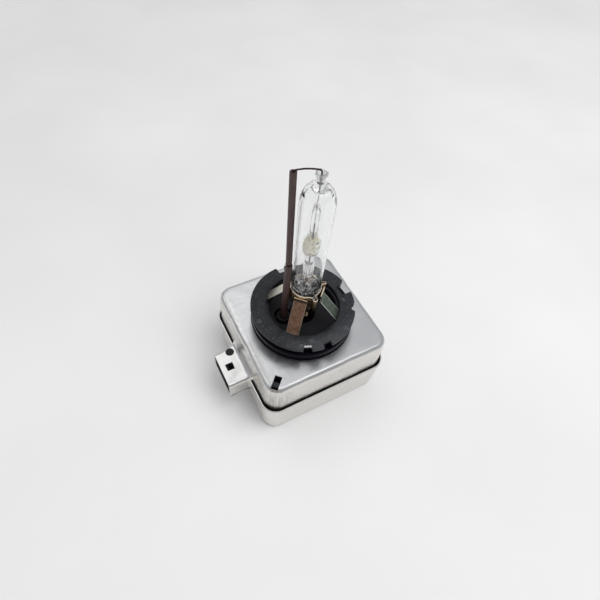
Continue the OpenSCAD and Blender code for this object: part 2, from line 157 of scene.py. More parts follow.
@contextmanager
def editing(mesh):
    """A mesh opened for editing, and written back after it."""
    work = bmesh.new()
    work.from_mesh(mesh)
    yield work
    work.to_mesh(mesh)
    work.free()


def new_object(name, data):
    obj = bpy.data.objects.new(name, data)
    bpy.context.scene.collection.objects.link(obj)
    return obj


def new_mesh(name, points, faces):
    """A mesh from points in millimetres."""
    mesh = bpy.data.meshes.new(name)
    mesh.from_pydata([[value * MM for value in point] for point in points], [], faces)
    return mesh


def solid(name, points, faces):
    """A closed object from points in millimetres."""
    obj = new_object(name, new_mesh(name, points, faces))
    obj.data.validate()
    outward(obj, 0.002)
    return obj


def outward(obj, gap):
    """Merges points closer than gap and turns every face outwards."""
    with editing(obj.data) as work:
        bmesh.ops.remove_doubles(work, verts=work.verts, dist=gap * MM)
        bmesh.ops.recalc_face_normals(work, faces=work.faces)


def loft(name, loops, closed=False):
    """Skins a row of equal loops. A closed row joins its last loop to its first; an open one is capped."""
    count = len(loops[0])
    points = [point for loop in loops for point in loop]
    faces = []
    for row in range(len(loops) if closed else len(loops) - 1):
        low = row * count
        high = ((row + 1) % len(loops)) * count
        for k in range(count):
            k2 = (k + 1) % count
            faces.append((low + k, low + k2, high + k2, high + k))
    if not closed:
        faces.append(tuple(range(count - 1, -1, -1)))
        faces.append(tuple(range(len(points) - count, len(points))))
    return solid(name, points, faces)


def lathe(name, profile, sides=96, center=(0, 0), shift=None):
    """Turns a profile of (radius, z) about a vertical axis. Ends at radius 0 close it; otherwise it is a ring.

    shift(radius, angle, z) may return a changed (radius, z) for each point; its angle is in radians."""
    points = []
    rings = []
    for radius, z in profile:
        if radius == 0:
            rings.append([len(points)] * sides)
            points.append((center[0], center[1], z))
            continue
        rings.append(list(range(len(points), len(points) + sides)))
        for k in range(sides):
            angle = 2 * math.pi * k / sides
            r, height = shift(radius, angle, z) if shift else (radius, z)
            points.append((center[0] + r * math.cos(angle), center[1] + r * math.sin(angle), height))
    pairs = list(zip(rings, rings[1:]))
    if profile[0][0] > 0 and profile[-1][0] > 0:
        pairs.append((rings[-1], rings[0]))
    faces = []
    for low, high in pairs:
        for k in range(sides):
            k2 = (k + 1) % sides
            corner = [low[k], low[k2], high[k2], high[k]]
            face = [v for i, v in enumerate(corner) if v != corner[i - 1]]
            if len(face) > 2:
                faces.append(tuple(face))
    return solid(name, points, faces)


def arc(center, radius, start, end, steps):
    """Points along an arc, both ends included."""
    return [(center[0] + radius * cosd(start + (end - start) * i / steps),
             center[1] + radius * sind(start + (end - start) * i / steps))
            for i in range(steps + 1)]


def smooth_path(points, steps):
    """A Catmull-Rom curve through the points."""
    points = [Vector(p) for p in points]
    ends = [2 * points[0] - points[1]] + points + [2 * points[-1] - points[-2]]
    path = []
    for a, b, c, d in zip(ends, ends[1:], ends[2:], ends[3:]):
        for i in range(steps):
            t = i / steps
            path.append(0.5 * (2 * b + (c - a) * t + (2 * a - 5 * b + 4 * c - d) * t * t
                               + (3 * b - a - 3 * c + d) * t ** 3))
    return path + [points[-1]]


def sweep(name, path, radius, sides):
    """A round bar with rounded ends along a path."""
    turns = [2 * math.pi * k / sides for k in range(sides)]
    u = Vector((0.31, -0.87, 0.38))
    loops = []
    for i, point in enumerate(path):
        along = heading(path, i)
        u = (u - along * u.dot(along)).normalized()
        v = along.cross(u)
        loops.append([point + radius * (math.cos(turn) * u + math.sin(turn) * v) for turn in turns])
        if i in (0, len(path) - 1):
            way = along if i else -along
            extra = [[point + way * radius * math.sin(a) + (c - point) * math.cos(a) for c in loops[-1]]
                     for a in (0.5, 1.0, 1.35)]
            loops = loops + extra if i else extra[::-1] + loops
    return loft(name, loops)


def apply_modifiers(obj):
    bpy.context.view_layer.update()
    graph = bpy.context.evaluated_depsgraph_get()
    mesh = bpy.data.meshes.new_from_object(obj.evaluated_get(graph))
    old = obj.data
    obj.modifiers.clear()
    obj.data = mesh
    bpy.data.meshes.remove(old)


def combine(target, operation, *cutters):
    """Cuts or joins other objects to target, exactly, and deletes them."""
    for cutter in cutters:
        step = target.modifiers.new("step", "BOOLEAN")
        step.operation = operation
        step.solver = "EXACT"
        step.object = cutter
        apply_modifiers(target)
        bpy.data.objects.remove(cutter)
    outward(target, 0.01)


def soften(obj, width):
    """Rounds the sharp edges."""
    bevel = obj.modifiers.new("soften", "BEVEL")
    bevel.width = width * MM
    bevel.segments = 2
    bevel.limit_method = "ANGLE"
    bevel.angle_limit = math.radians(38)
    bevel.miter_outer = "MITER_ARC"
    apply_modifiers(obj)


def ripple(obj, height, size, seed, keep=lambda place: 1):
    """Moves points along their normals by smooth noise, as in pressed sheet or blown glass.

    keep(place) is the share of the height that a place gets."""
    with editing(obj.data) as work:
        work.normal_update()
        moved = []
        for vert in work.verts:
            place = vert.co / (size * MM) + Vector((seed, seed * 1.7, -seed))
            amount = noise.fractal(place, 1.0, 2.0, 3) * height * MM * keep(vert.co / MM)
            moved.append((vert, vert.normal * amount))
        for vert, offset in moved:
            vert.co += offset


def finish_piece(obj, slot, node, sharp, finish=None):
    """Shades a piece, gives it its slot's material or another, ties it to the root body, and hides the CAD node
    it replaces.
    """
    with editing(obj.data) as work:
        for face in work.faces:
            face.smooth = True
        for edge in work.edges:
            if len(edge.link_faces) == 2:
                edge.smooth = edge.calc_face_angle(0) < math.radians(sharp)
    obj.data.materials.clear()
    obj.data.materials.append(MATERIALS[finish or slot])
    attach(obj, "root")
    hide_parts(node)


# ---- material helpers ----

# Every material made, by the name it was asked for under
MATERIALS = {}


class Nodes:
    """Short calls for one node tree. Textures of a material use object coordinates in millimetres."""

    def __init__(self, owner, coordinates="Object"):
        """owner is a new material's name, or a world."""
        if isinstance(owner, str):
            MATERIALS[owner] = bpy.data.materials.new(owner)
            owner = MATERIALS[owner]
        owner.use_nodes = True
        self.tree = owner.node_tree
        self.coord = self.add("ShaderNodeTexCoord").outputs[coordinates]

    def feed(self, socket, source):
        """Links a socket or sets its value. A colour is three numbers."""
        if isinstance(source, bpy.types.NodeSocket):
            self.tree.links.new(source, socket)
        else:
            socket.default_value = (*source, 1) if socket.type == "RGBA" else source

    def add(self, kind, links=(), **values):
        node = self.tree.nodes.new(kind)
        for key, value in values.items():
            setattr(node, key, value)
        for socket, source in links:
            self.feed(node.inputs[socket], source)
        return node

    def place(self, stretch=(1, 1, 1), turn=0.0):
        scale = [value / MM for value in stretch]
        node = self.add("ShaderNodeMapping", [("Vector", self.coord), ("Scale", scale),
                                              ("Rotation", (0, 0, math.radians(turn)))])
        return node.outputs["Vector"]

    def noise(self, scale, detail=3.0, rough=0.5, stretch=(1, 1, 1), turn=0.0):
        node = self.add("ShaderNodeTexNoise", [("Vector", self.place(stretch, turn)), ("Scale", scale),
                                               ("Detail", detail), ("Roughness", rough)])
        return node.outputs["Fac"]

    def remap(self, source, low, high, to_low=0.0, to_high=1.0):
        node = self.add("ShaderNodeMapRange", [("Value", source), ("From Min", low), ("From Max", high),
                                               ("To Min", to_low), ("To Max", to_high)], clamp=True)
        return node.outputs["Result"]

    def math(self, operation, a, b=0.0):
        return self.add("ShaderNodeMath", [(0, a), (1, b)], operation=operation).outputs[0]

    def times(self, a, b):
        return self.math("MULTIPLY", a, b)

    def mix(self, factor, a, b):
        return self.add("ShaderNodeMix", [(0, factor), (6, a), (7, b)], data_type="RGBA").outputs[2]

    def layers(self, color, *layers):
        """Lays colours over a colour, each by its mask and its strength."""
        for mask, strength, tint in layers:
            color = self.mix(self.times(mask, strength), color, tint)
        return color

    def vector(self, operation, *sources):
        """A number from vectors: a distance, a length or a dot product."""
        return self.add("ShaderNodeVectorMath", enumerate(sources), operation=operation).outputs["Value"]

    def axis(self, name, vector=None):
        """One coordinate of a vector, or of the object coordinates in millimetres."""
        vector = self.place() if vector is None else vector
        return self.add("ShaderNodeSeparateXYZ", [("Vector", vector)]).outputs[name]

    def radius(self):
        """The distance from the bulb's axis."""
        return self.vector("LENGTH", self.place((1, 1, 0)))

    def near(self, point, radius, soft):
        """1 within radius of a point, falling to 0 over the soft distance."""
        return self.remap(self.vector("DISTANCE", self.place(), point), radius, radius + soft, 1.0, 0.0)

    def bump(self, height, strength, distance):
        links = [("Height", height), ("Strength", strength), ("Distance", distance * MM)]
        return self.add("ShaderNodeBump", links).outputs["Normal"]

    def set(self, **values):
        """Sets or links inputs of the Principled shader."""
        for key, value in values.items():
            self.feed(self.tree.nodes["Principled BSDF"].inputs[key.replace("_", " ")], value)


# ---- materials ----

def shield_metal():
    """Tinned steel pressed deep into a cup by drawing: a satin top, drawing streaks on the walls, pits and
    handling marks, with painted reflections on the walls and a painted highlight on the sleeve's top.
    """
    n = Nodes("shield_metal")
    x, y, z = [n.axis(name) for name in "XYZ"]
    up = n.axis("Z", n.add("ShaderNodeNewGeometry").outputs["Normal"])
    wall = n.remap(n.math("ABSOLUTE", up), 0.25, 0.8, 1.0, 0.0)
    cloud = n.remap(n.noise(0.16, 4, 0.55), 0.3, 0.7)
    mottle = n.noise(0.9, 4, 0.6)
    streak = n.noise(1.0, 4, 0.65, stretch=(3.2, 3.2, 0.12))
    smudge = n.times(n.near((-18.5, -18.5, -13.5), 1.5, 5.5), n.remap(streak, 0.38, 0.62))
    scuff = n.times(n.remap(n.noise(1.6, 5, 0.7, stretch=(1, 0.35, 1)), 0.55, 0.66), wall)
    # the bend on the connector's side is the most worn; the wall below it gets painted reflections, long light
    # and dark streaks
    bend = n.times(n.remap(x, -18.0, -20.5), n.remap(z, -13.5, -9.0))
    worn = n.times(bend, n.remap(n.noise(1.0, 5, 0.75, stretch=(1.5, 0.5, 1.8)), 0.56, 0.63))
    side = n.times(n.remap(x, -18.3, -19.2), n.remap(z, -17.5, -16.0))
    reflected_streaks = n.noise(1.0, 3, 0.65, stretch=(2.4, 0.05, 2.4))
    edge = n.remap(n.math("MAXIMUM", n.math("ABSOLUTE", x), n.math("ABSOLUTE", y)), 14.5, 17.5)
    cells = n.add("ShaderNodeTexVoronoi", [("Vector", n.place()), ("Scale", 0.85)]).outputs["Distance"]
    pits = n.times(n.remap(cells, 0.10, 0.16, 1.0, 0.0),
                   n.times(n.remap(n.noise(0.22, 2), 0.52, 0.62), edge))
    scratch = n.remap(n.noise(1.0, 2, 0.4, stretch=(0.12, 5.0, 0.12), turn=28), 0.60, 0.635)
    lit_sleeve_top = n.times(n.remap(z, -16.4, -17.2), n.remap(up, 0.9, 0.97))
    color = n.mix(cloud, (0.68, 0.69, 0.705), (0.75, 0.755, 0.765))
    color = n.mix(n.remap(mottle, 0.45, 0.70, 0.0, 0.12), color, (0.60, 0.605, 0.61))
    # painted reflection: the walls are warmer and lighter than the bluish top, as if they mirror the pale floor
    color = n.layers(color, (wall, 0.85, (0.765, 0.745, 0.705)),
                     # painted reflection: dark and light streaks on the connector's side wall
                     (n.times(n.remap(reflected_streaks, 0.50, 0.60), side), 0.5, (0.42, 0.40, 0.37)),
                     (n.times(n.remap(reflected_streaks, 0.47, 0.38), side), 0.7, (0.97, 0.965, 0.95)))
    # painted highlight: the sleeve's top is made lighter
    color = n.mix(lit_sleeve_top, color, (0.84, 0.84, 0.83))
    color = n.layers(color, (scuff, 0.4, (0.46, 0.43, 0.39)), (worn, 0.6, (0.22, 0.20, 0.175)),
                     (smudge, 0.8, (0.30, 0.27, 0.235)), (pits, 0.6, (0.20, 0.185, 0.165)))
    rough = n.math("ADD", n.remap(mottle, 0.3, 0.7, 0.27, 0.31), n.times(scratch, 0.10))
    height = n.math("ADD", n.times(n.noise(7.0, 3, 0.6), 0.025), n.times(n.times(streak, wall), 1.2))
    height = n.math("SUBTRACT", height, n.times(n.math("ADD", pits, worn), 3.2))
    height = n.math("SUBTRACT", height, n.times(scratch, 0.2))
    n.set(Base_Color=color, Metallic=1.0, Roughness=rough, Normal=n.bump(height, 0.13, 0.04))


def base_plastic():
    """Glass-filled black moulding: fine grain, pale speckles, greyer worn patches near the rim."""
    n = Nodes("base_plastic")
    grain = n.noise(9.0, 4, 0.65)
    cloud = n.noise(0.28, 5, 0.65)
    speck = n.remap(n.noise(5.0, 4, 0.75), 0.60, 0.72)
    outer = n.remap(n.radius(), 11.6, 13.5)
    worn = n.times(n.remap(n.noise(1.2, 5, 0.7), 0.50, 0.64), outer)
    line = n.remap(n.noise(1.0, 2, 0.5, stretch=(5.0, 0.25, 1), turn=35), 0.62, 0.66)
    # painted sheen: the front of the rim is made lighter
    front = n.times(n.remap(n.axis("Y"), -9.0, -15.5), outer)
    # painted shade: the well below the ledge is made darker
    deep = n.remap(n.axis("Z"), LEDGE_Z, LEDGE_Z - 0.8)
    color = n.mix(n.remap(cloud, 0.32, 0.68), (0.009, 0.010, 0.013), (0.026, 0.027, 0.031))
    # painted sheen at the front of the rim, then wear, speckles and lines, then painted shade in the well
    color = n.layers(color, (front, 0.6, (0.075, 0.078, 0.085)), (worn, 0.22, (0.16, 0.165, 0.18)),
                     (speck, 0.16, (0.30, 0.31, 0.33)), (line, 0.16, (0.14, 0.145, 0.16)),
                     (deep, 0.75, (0.004, 0.004, 0.006)))
    # a painted highlight: a pale, long glint on the inner wall of the first front notch
    for turn in (-115.2, -112.5, -109.8):
        color = n.mix(n.near(polar(14.95, turn, -0.5), 0.45, 0.12), color, (0.85, 0.86, 0.88))
    for around, turn in MARKS:
        spot = n.near(polar(around, turn, -0.1), MARK_R, 0.12)
        ring = n.times(spot, n.remap(n.noise(3.0, 3, 0.7), 0.42, 0.60))
        color = n.layers(color, (ring, 0.5, (0.20, 0.205, 0.22)))
    height = n.math("ADD", grain, n.times(cloud, 0.8))
    n.set(Base_Color=color, Roughness=n.remap(grain, 0.25, 0.75, 0.40, 0.58),
          Specular_IOR_Level=0.28, Normal=n.bump(height, 0.45, 0.05))


def seal_rubber():
    """Blue-black rubber with a little dust."""
    n = Nodes("seal_rubber")
    dust = n.remap(n.noise(1.2, 5, 0.7), 0.55, 0.75)
    color = n.mix(n.times(dust, 0.2), (0.002, 0.002, 0.006), (0.018, 0.018, 0.03))
    n.set(Base_Color=color, Roughness=n.remap(n.noise(3.0, 4, 0.6), 0.3, 0.7, 0.22, 0.36),
          Specular_IOR_Level=0.05, Normal=n.bump(n.noise(5.0, 3, 0.5), 0.15, 0.04))


def clear_quartz(name, wave, crumpled_below, milky=(), cloudy_from=None):
    """Clear quartz with faint drawing waves.

    Below crumpled_below it is worked glass with bright wavy lines, painted highlights that are white and glow a
    little. Between each pair of milky heights it is a streaky seal. Above cloudy_from it is the greyish,
    torn-off tip."""
    n = Nodes(name)
    clear = (0.985, 0.99, 0.99)
    z = n.axis("Z")
    worked = n.times(n.remap(z, crumpled_below, crumpled_below - 1), n.remap(n.radius(), 3.75, 3.6))
    # painted highlight: thin wavy lines in the worked glass, white and glowing
    highlight_line = n.math("ABSOLUTE", n.math("SUBTRACT", n.noise(0.9, 1, 0.4, stretch=(0.9, 0.9, 0.28)), 0.5))
    cover = n.times(n.remap(highlight_line, 0.006, 0.020, 0.75, 0.0), worked)
    streaks = n.remap(n.noise(1.0, 3, 0.6, stretch=(2.6, 2.6, 0.12)), 0.40, 0.62, 0.12, 0.62)
    for low, high in milky:
        zone = n.times(n.remap(z, low, low + 0.8), n.remap(z, high, high - 0.5))
        cover = n.math("MAXIMUM", cover, n.times(zone, streaks))
    waves = n.noise(1.0, 2, 0.4, stretch=(1.1, 1.1, 0.06))
    height = n.math("ADD", waves, n.times(n.noise(2.2, 2, 0.5), 0.25))
    # painted light: the highlight lines and the milky streaks glow a little, in place of the light they scatter
    n.set(Base_Color=clear, Roughness=0.012, IOR=1.46, Normal=n.bump(height, wave, 0.05),
          Transmission_Weight=n.math("SUBTRACT", 1.0, cover), Emission_Color=(1.0, 1.0, 1.0),
          Emission_Strength=n.times(cover, 0.45))
    if cloudy_from:
        cloud = n.remap(z, cloudy_from, cloudy_from + 0.8)
        smudge = n.times(cloud, n.remap(n.noise(1.3, 3, 0.6), 0.35, 0.65, 0.35, 1.0))
        n.set(Roughness=n.remap(smudge, 0, 1, 0.012, 0.45),
              Base_Color=n.mix(smudge, clear, (0.78, 0.785, 0.785)))


def halide_salt():
    """Pale yellowish salts with darker specks."""
    n = Nodes("halide_salt")
    lump = n.noise(2.6, 4, 0.6)
    color = n.mix(n.remap(lump, 0.35, 0.65), (0.70, 0.69, 0.52), (0.96, 0.95, 0.88))
    color = n.mix(n.remap(n.noise(1.5, 4, 0.7), 0.54, 0.62, 0.0, 0.75), color, (0.36, 0.35, 0.25))
    # painted light: the salts glow a little, in place of the light the glass keeps from them
    n.set(Base_Color=color, Roughness=0.6, Subsurface_Weight=0.2, Subsurface_Scale=0.4 * MM,
          Emission_Color=color, Emission_Strength=0.28, Normal=n.bump(lump, 0.6, 0.15))


def leg_tab(n, color, edge):
    """Darkens a leg's welded tab, and paints highlights along its long edges and along the cut edge on top of
    it.
    """
    z = n.axis("Z")
    across = n.math("MINIMUM", *[n.math("ABSOLUTE", n.axis(axis, n.place(turn=45))) for axis in "XY"])
    tab = n.times(n.remap(z, TAB_LOW, TAB_LOW + 0.4), n.remap(z, TAB_TOP, TAB_TOP - 0.06))
    # painted highlight: the long edges are made lighter
    color = n.layers(color, (n.remap(across, 1.70, 1.82), edge, (0.80, 0.83, 0.80)),
                     (tab, 0.85, (0.06, 0.045, 0.03)))
    # painted highlight: a bright line along the cut edge on top
    return n.mix(n.remap(z, TAB_TOP, TAB_TOP + 0.04), color, (0.95, 0.80, 0.62))


def drawn_metal(name, dark, light, rough, scale, stretch=(1, 1, 1), edge_highlight=None):
    """Bare metal with streaked colour and gloss. A leg also has its tab, and painted highlights of the given
    brightness on its edges.
    """
    n = Nodes(name)
    fine = n.noise(scale * 5, 3, 0.6, stretch=stretch)
    color = n.mix(n.remap(n.noise(scale, 4, 0.6, stretch=stretch), 0.32, 0.68), dark, light)
    color = leg_tab(n, color, edge_highlight) if edge_highlight else color
    n.set(Base_Color=color, Metallic=1.0, Normal=n.bump(fine, 0.25, 0.03),
          Roughness=n.remap(fine, 0.3, 0.7, rough * 0.8, rough * 1.25))


def moulded(name, dark, light, rough, scale, strength=0.3):
    """Plastic, laminate, ceramic or lacquer with a fine uneven skin."""
    n = Nodes(name)
    grain = n.noise(scale, 4, 0.6)
    color = n.mix(n.remap(n.noise(scale * 0.15, 4, 0.6), 0.3, 0.7), dark, light)
    n.set(Base_Color=color, Roughness=n.remap(grain, 0.3, 0.7, rough * 0.85, rough * 1.2),
          Specular_IOR_Level=0.3, Normal=n.bump(grain, strength, 0.04))


def brown_ceramic():
    """Fired brown ceramic tube with long drawing marks and a pale chip at the joint."""
    n = Nodes("brown_ceramic")
    streak = n.noise(1.6, 4, 0.6, stretch=(1.6, 1.6, 0.1))
    speck = n.noise(6.0, 3, 0.6)
    chip = n.times(n.near((JOINT.x - 0.95, JOINT.y + 0.25, JOINT.z + 0.15), 0.28, 0.14),
                   n.remap(speck, 0.35, 0.45, 0.6, 1.0))
    color = n.mix(n.remap(streak, 0.3, 0.7), (0.052, 0.026, 0.025), (0.088, 0.050, 0.046))
    color = n.mix(n.remap(speck, 0.55, 0.75, 0.0, 0.35), color, (0.035, 0.018, 0.018))
    color = n.mix(chip, color, (0.75, 0.72, 0.68))
    n.set(Base_Color=color, Roughness=n.remap(speck, 0.3, 0.7, 0.42, 0.6),
          Normal=n.bump(n.math("ADD", streak, n.times(speck, 0.4)), 0.3, 0.05))


def band_metal():
    """Gold-tinted spring steel, with painted shade on the lower half and a painted highlight along the cut edge
    on top.
    """
    n = Nodes("band_metal")
    z = n.axis("Z")
    streak = n.noise(1.2, 4, 0.6, stretch=(0.6, 0.6, 3.0))
    color = n.mix(n.remap(streak, 0.35, 0.65), (0.92, 0.72, 0.50), (0.74, 0.54, 0.33))
    # painted shade: the lower half is made darker
    low = n.remap(z, BAND_LOW + 0.6, BAND_TOP - 0.6, 1.0, 0.0)
    color = n.layers(color, (low, 0.8, (0.20, 0.145, 0.09)))
    # painted highlight: a bright line along the top edge
    color = n.mix(n.remap(z, BAND_TOP - 0.10, BAND_TOP - 0.05), color, (1.0, 0.90, 0.78))
    n.set(Base_Color=color, Metallic=1.0, Roughness=n.remap(streak, 0.3, 0.7, 0.20, 0.34),
          Normal=n.bump(n.noise(6.0, 3, 0.6), 0.2, 0.03))


def copper_enamel():
    """Enamelled winding: fine turns across the coil's axis, which lies along Y."""
    n = Nodes("copper_wire")
    turns = n.add("ShaderNodeTexWave", [("Vector", n.place((0, 1, 0))), ("Scale", 1.1),
                                        ("Distortion", 0.3)], bands_direction="Y").outputs["Fac"]
    color = n.mix(turns, (0.28, 0.10, 0.03), (0.68, 0.30, 0.12))
    n.set(Base_Color=color, Metallic=1.0, Roughness=n.remap(turns, 0, 1, 0.42, 0.26),
          Normal=n.bump(turns, 0.8, 0.12))


shield_metal()
base_plastic()
seal_rubber()
clear_quartz("quartz_jacket", 0.02, 10.4, cloudy_from=TIP_Z - 3.0)
clear_quartz("arc_quartz", 0.06, 13.2, milky=[(15.0, 20.8), (38.4, STEM_TOP + 0.4)])
halide_salt()
brown_ceramic()
band_metal()
copper_enamel()
drawn_metal("tungsten", (0.30, 0.30, 0.31), (0.46, 0.46, 0.47), 0.35, 3, (1, 1, 0.2))
drawn_metal("molybdenum", (0.24, 0.24, 0.25), (0.42, 0.42, 0.43), 0.3, 3, (1, 1, 0.2))
drawn_metal("oxidised_wire", (0.035, 0.022, 0.022), (0.10, 0.07, 0.065), 0.42, 2)
drawn_metal("contact_metal", (0.62, 0.46, 0.20), (0.82, 0.66, 0.34), 0.26, 2)
drawn_metal("cap_metal", (0.55, 0.55, 0.54), (0.75, 0.75, 0.74), 0.28, 2)
moulded("housing_plastic", (0.012, 0.012, 0.015), (0.026, 0.027, 0.032), 0.5, 4)
moulded("connector_plastic", (0.010, 0.011, 0.012), (0.022, 0.024, 0.026), 0.45, 5)
moulded("board_laminate", (0.010, 0.06, 0.025), (0.020, 0.10, 0.045), 0.4, 3)
moulded("ferrite", (0.030, 0.030, 0.032), (0.060, 0.060, 0.064), 0.6, 5, 0.5)
moulded("bobbin_plastic", (0.62, 0.58, 0.46), (0.74, 0.70, 0.58), 0.45, 4)
moulded("white_ceramic", (0.74, 0.73, 0.70), (0.84, 0.83, 0.80), 0.35, 4)
moulded("film_case", (0.05, 0.12, 0.26), (0.07, 0.17, 0.34), 0.4, 4)
moulded("resistor_body", (0.42, 0.30, 0.18), (0.58, 0.43, 0.27), 0.5, 5)
moulded("potting_compound", (0.060, 0.055, 0.048), (0.10, 0.092, 0.080), 0.55, 2, 0.5)
# The four legs, one metal with a different painted reflection on each, in the legs' order: dark and light
# colour, roughness, brightness of the painted highlight on the long edges
LEG_METALS = {
    "leg_metal_with_copper_reflection": ((0.21, 0.125, 0.085), (0.40, 0.27, 0.20), 0.40, 0.2),
    "leg_metal_with_green_reflection": ((0.09, 0.115, 0.09), (0.17, 0.21, 0.17), 0.36, 0.8),
    "leg_metal_with_grey_reflection": ((0.34, 0.33, 0.29), (0.50, 0.48, 0.43), 0.36, 0.2),
    "leg_metal_with_beige_reflection": ((0.74, 0.70, 0.61), (0.92, 0.88, 0.78), 0.36, 0.2),
}
for finish, (dark, light, rough, edge) in LEG_METALS.items():
    drawn_metal(finish, dark, light, rough, 1.2, (1, 1, 0.35), edge)

# The CAD nodes that are shown as they are, by the finish they take
CARRIED = {
    "tungsten": ["upper_electrode", "lower_electrode"],
    "molybdenum": ["upper_foil", "lower_foil", "upper_lead", "lower_lead"],
    "housing_plastic": ["igniter_housing", "housing_cover"],
    "contact_metal": ["contact_pin_1", "contact_pin_2", "contact_pin_3", "contact_pin_4",
                      "hv_strap", "return_contact", "shield_spring"],
    "board_laminate": ["circuit_board"],
    "ferrite": ["transformer_core"],
    "bobbin_plastic": ["transformer_bobbin"],
    "copper_wire": ["secondary_winding", "primary_winding"],
    "white_ceramic": ["spark_gap_tube"],
    "cap_metal": ["spark_gap_caps"],
    "film_case": ["pulse_capacitor"],
    "resistor_body": ["bleed_resistor"],
    "potting_compound": ["potting"],
}
for finish, nodes in CARRIED.items():
    for node in nodes:
        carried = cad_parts[node]
        carried.data.materials.clear()
        carried.data.materials.append(MATERIALS[finish])


# ---- the two shields ----

def square_loop(half, corner, z):
    """A rounded square, starting at the low end of its +X side."""
    side, turn = 40, 14
    flat = half - corner
    quarter = [(half, -flat + 2 * flat * i / side) for i in range(side)]
    quarter += [(flat + x, flat + y) for x, y in arc((0, 0), corner, 0, 90 * (turn - 1) / turn, turn - 1)]
    loop = []
    for c, s in [(1, 0), (0, 1), (-1, 0), (0, -1)]:
        loop += [(c * x - s * y, s * x + c * y, z) for x, y in quarter]
    return loop


def towards_circle(loop, radius, share):
    """A loop part of the way from its own outline to a circle."""
    scales = [1 + share * (radius / math.hypot(x, y) - 1) for x, y, z in loop]
    return [(x * scale, y * scale, z) for scale, (x, y, z) in zip(scales, loop)]


def shield_skin(inset):
    """Loops of the upper shield's skin from its rim to the hole in its top."""
    rim = CAN_RIM_HALF - inset
    half = CAN_HALF - inset
    bend = BEND - inset
    corner = CAN_CORNER - inset
    knee = CAN_TOP - BEND
    steps = 14
    loops = [square_loop(rim + (half - rim) * i / steps, corner - 0.3 * i / steps,
                         CAN_RIM + (knee - CAN_RIM) * i / steps)
             for i in range(steps + 1)]
    for i in range(1, 9):
        a = math.radians(90 * i / 8)
        back = bend * (1 - math.cos(a))
        loops.append(square_loop(half - back, corner - 0.3 - 0.5 * back, knee + bend * math.sin(a)))
    return loops + [towards_circle(loops[-1], NECK_R + 0.5, i / 9) for i in range(1, 10)]


def sleeve_section(x):
    """The connector sleeve's bent sheet at one distance from the can, flaring into the can's wall."""
    wall = -CAN_RIM_HALF
    fillet = 1.6
    into = min(max(x - (wall - fillet), 0), fillet)
    rise = fillet - math.sqrt(max(fillet ** 2 - into ** 2, 0))
    far = unit((x + FLARE_FAR) / (FLARE_FAR + wall))
    near = unit((x + FLARE_NEAR) / (FLARE_NEAR + wall))
    low_y = SLEEVE_Y - SLEEVE_W / 2 - 0.9 * near ** 2
    high_y = SLEEVE_Y + SLEEVE_W / 2 + 1.65 * far ** 1.6
    top = SLEEVE_TOP + rise
    skins = []
    for inset in (0, SHEET):
        r = 1.05 - inset
        a, b, t = low_y + inset, high_y - inset, top - inset
        skin = [(a, SLEEVE_SKIRT + (t - r - SLEEVE_SKIRT) * i / 4) for i in range(4)]
        skin += arc((a + r, t - r), r, 180, 90, 5)
        skin += [(a + r + (b - a - 2 * r) * i / 16, t) for i in range(1, 16)]
        skin += arc((b - r, t - r), r, 90, 0, 5)
        skin += [(b, t - r + (SLEEVE_SKIRT - t + r) * i / 4) for i in range(1, 5)]
        skins.append(skin)
    return [(x, y, z) for y, z in skins[0] + skins[1][::-1]]


def block(name, low, high):
    """A plain box, used to cut with or to be rounded."""
    (x0, y0, z0), (x1, y1, z1) = low, high
    return loft(name, [[(x0, y0, z), (x1, y0, z), (x1, y1, z), (x0, y1, z)] for z in (z0, z1)])


def turned_block(name, low, high, degrees):
    obj = block(name, low, high)
    obj.data.transform(Matrix.Rotation(math.radians(degrees), 4, "Z"))
    return obj


def dent(obj, spots, way=None):
    """Pushes soft dents into a skin, towards the axis or along way. Each has a centre, a radius and a depth."""
    for vert in obj.data.vertices:
        place = vert.co / MM
        for center, radius, depth in spots:
            away = (place - Vector(center)).length / radius
            if away < 1:
                push = way or Vector((-place.x, -place.y, -abs(place.z) * 0.4)).normalized()
                vert.co += push * depth * MM * (1 - away * away) ** 2


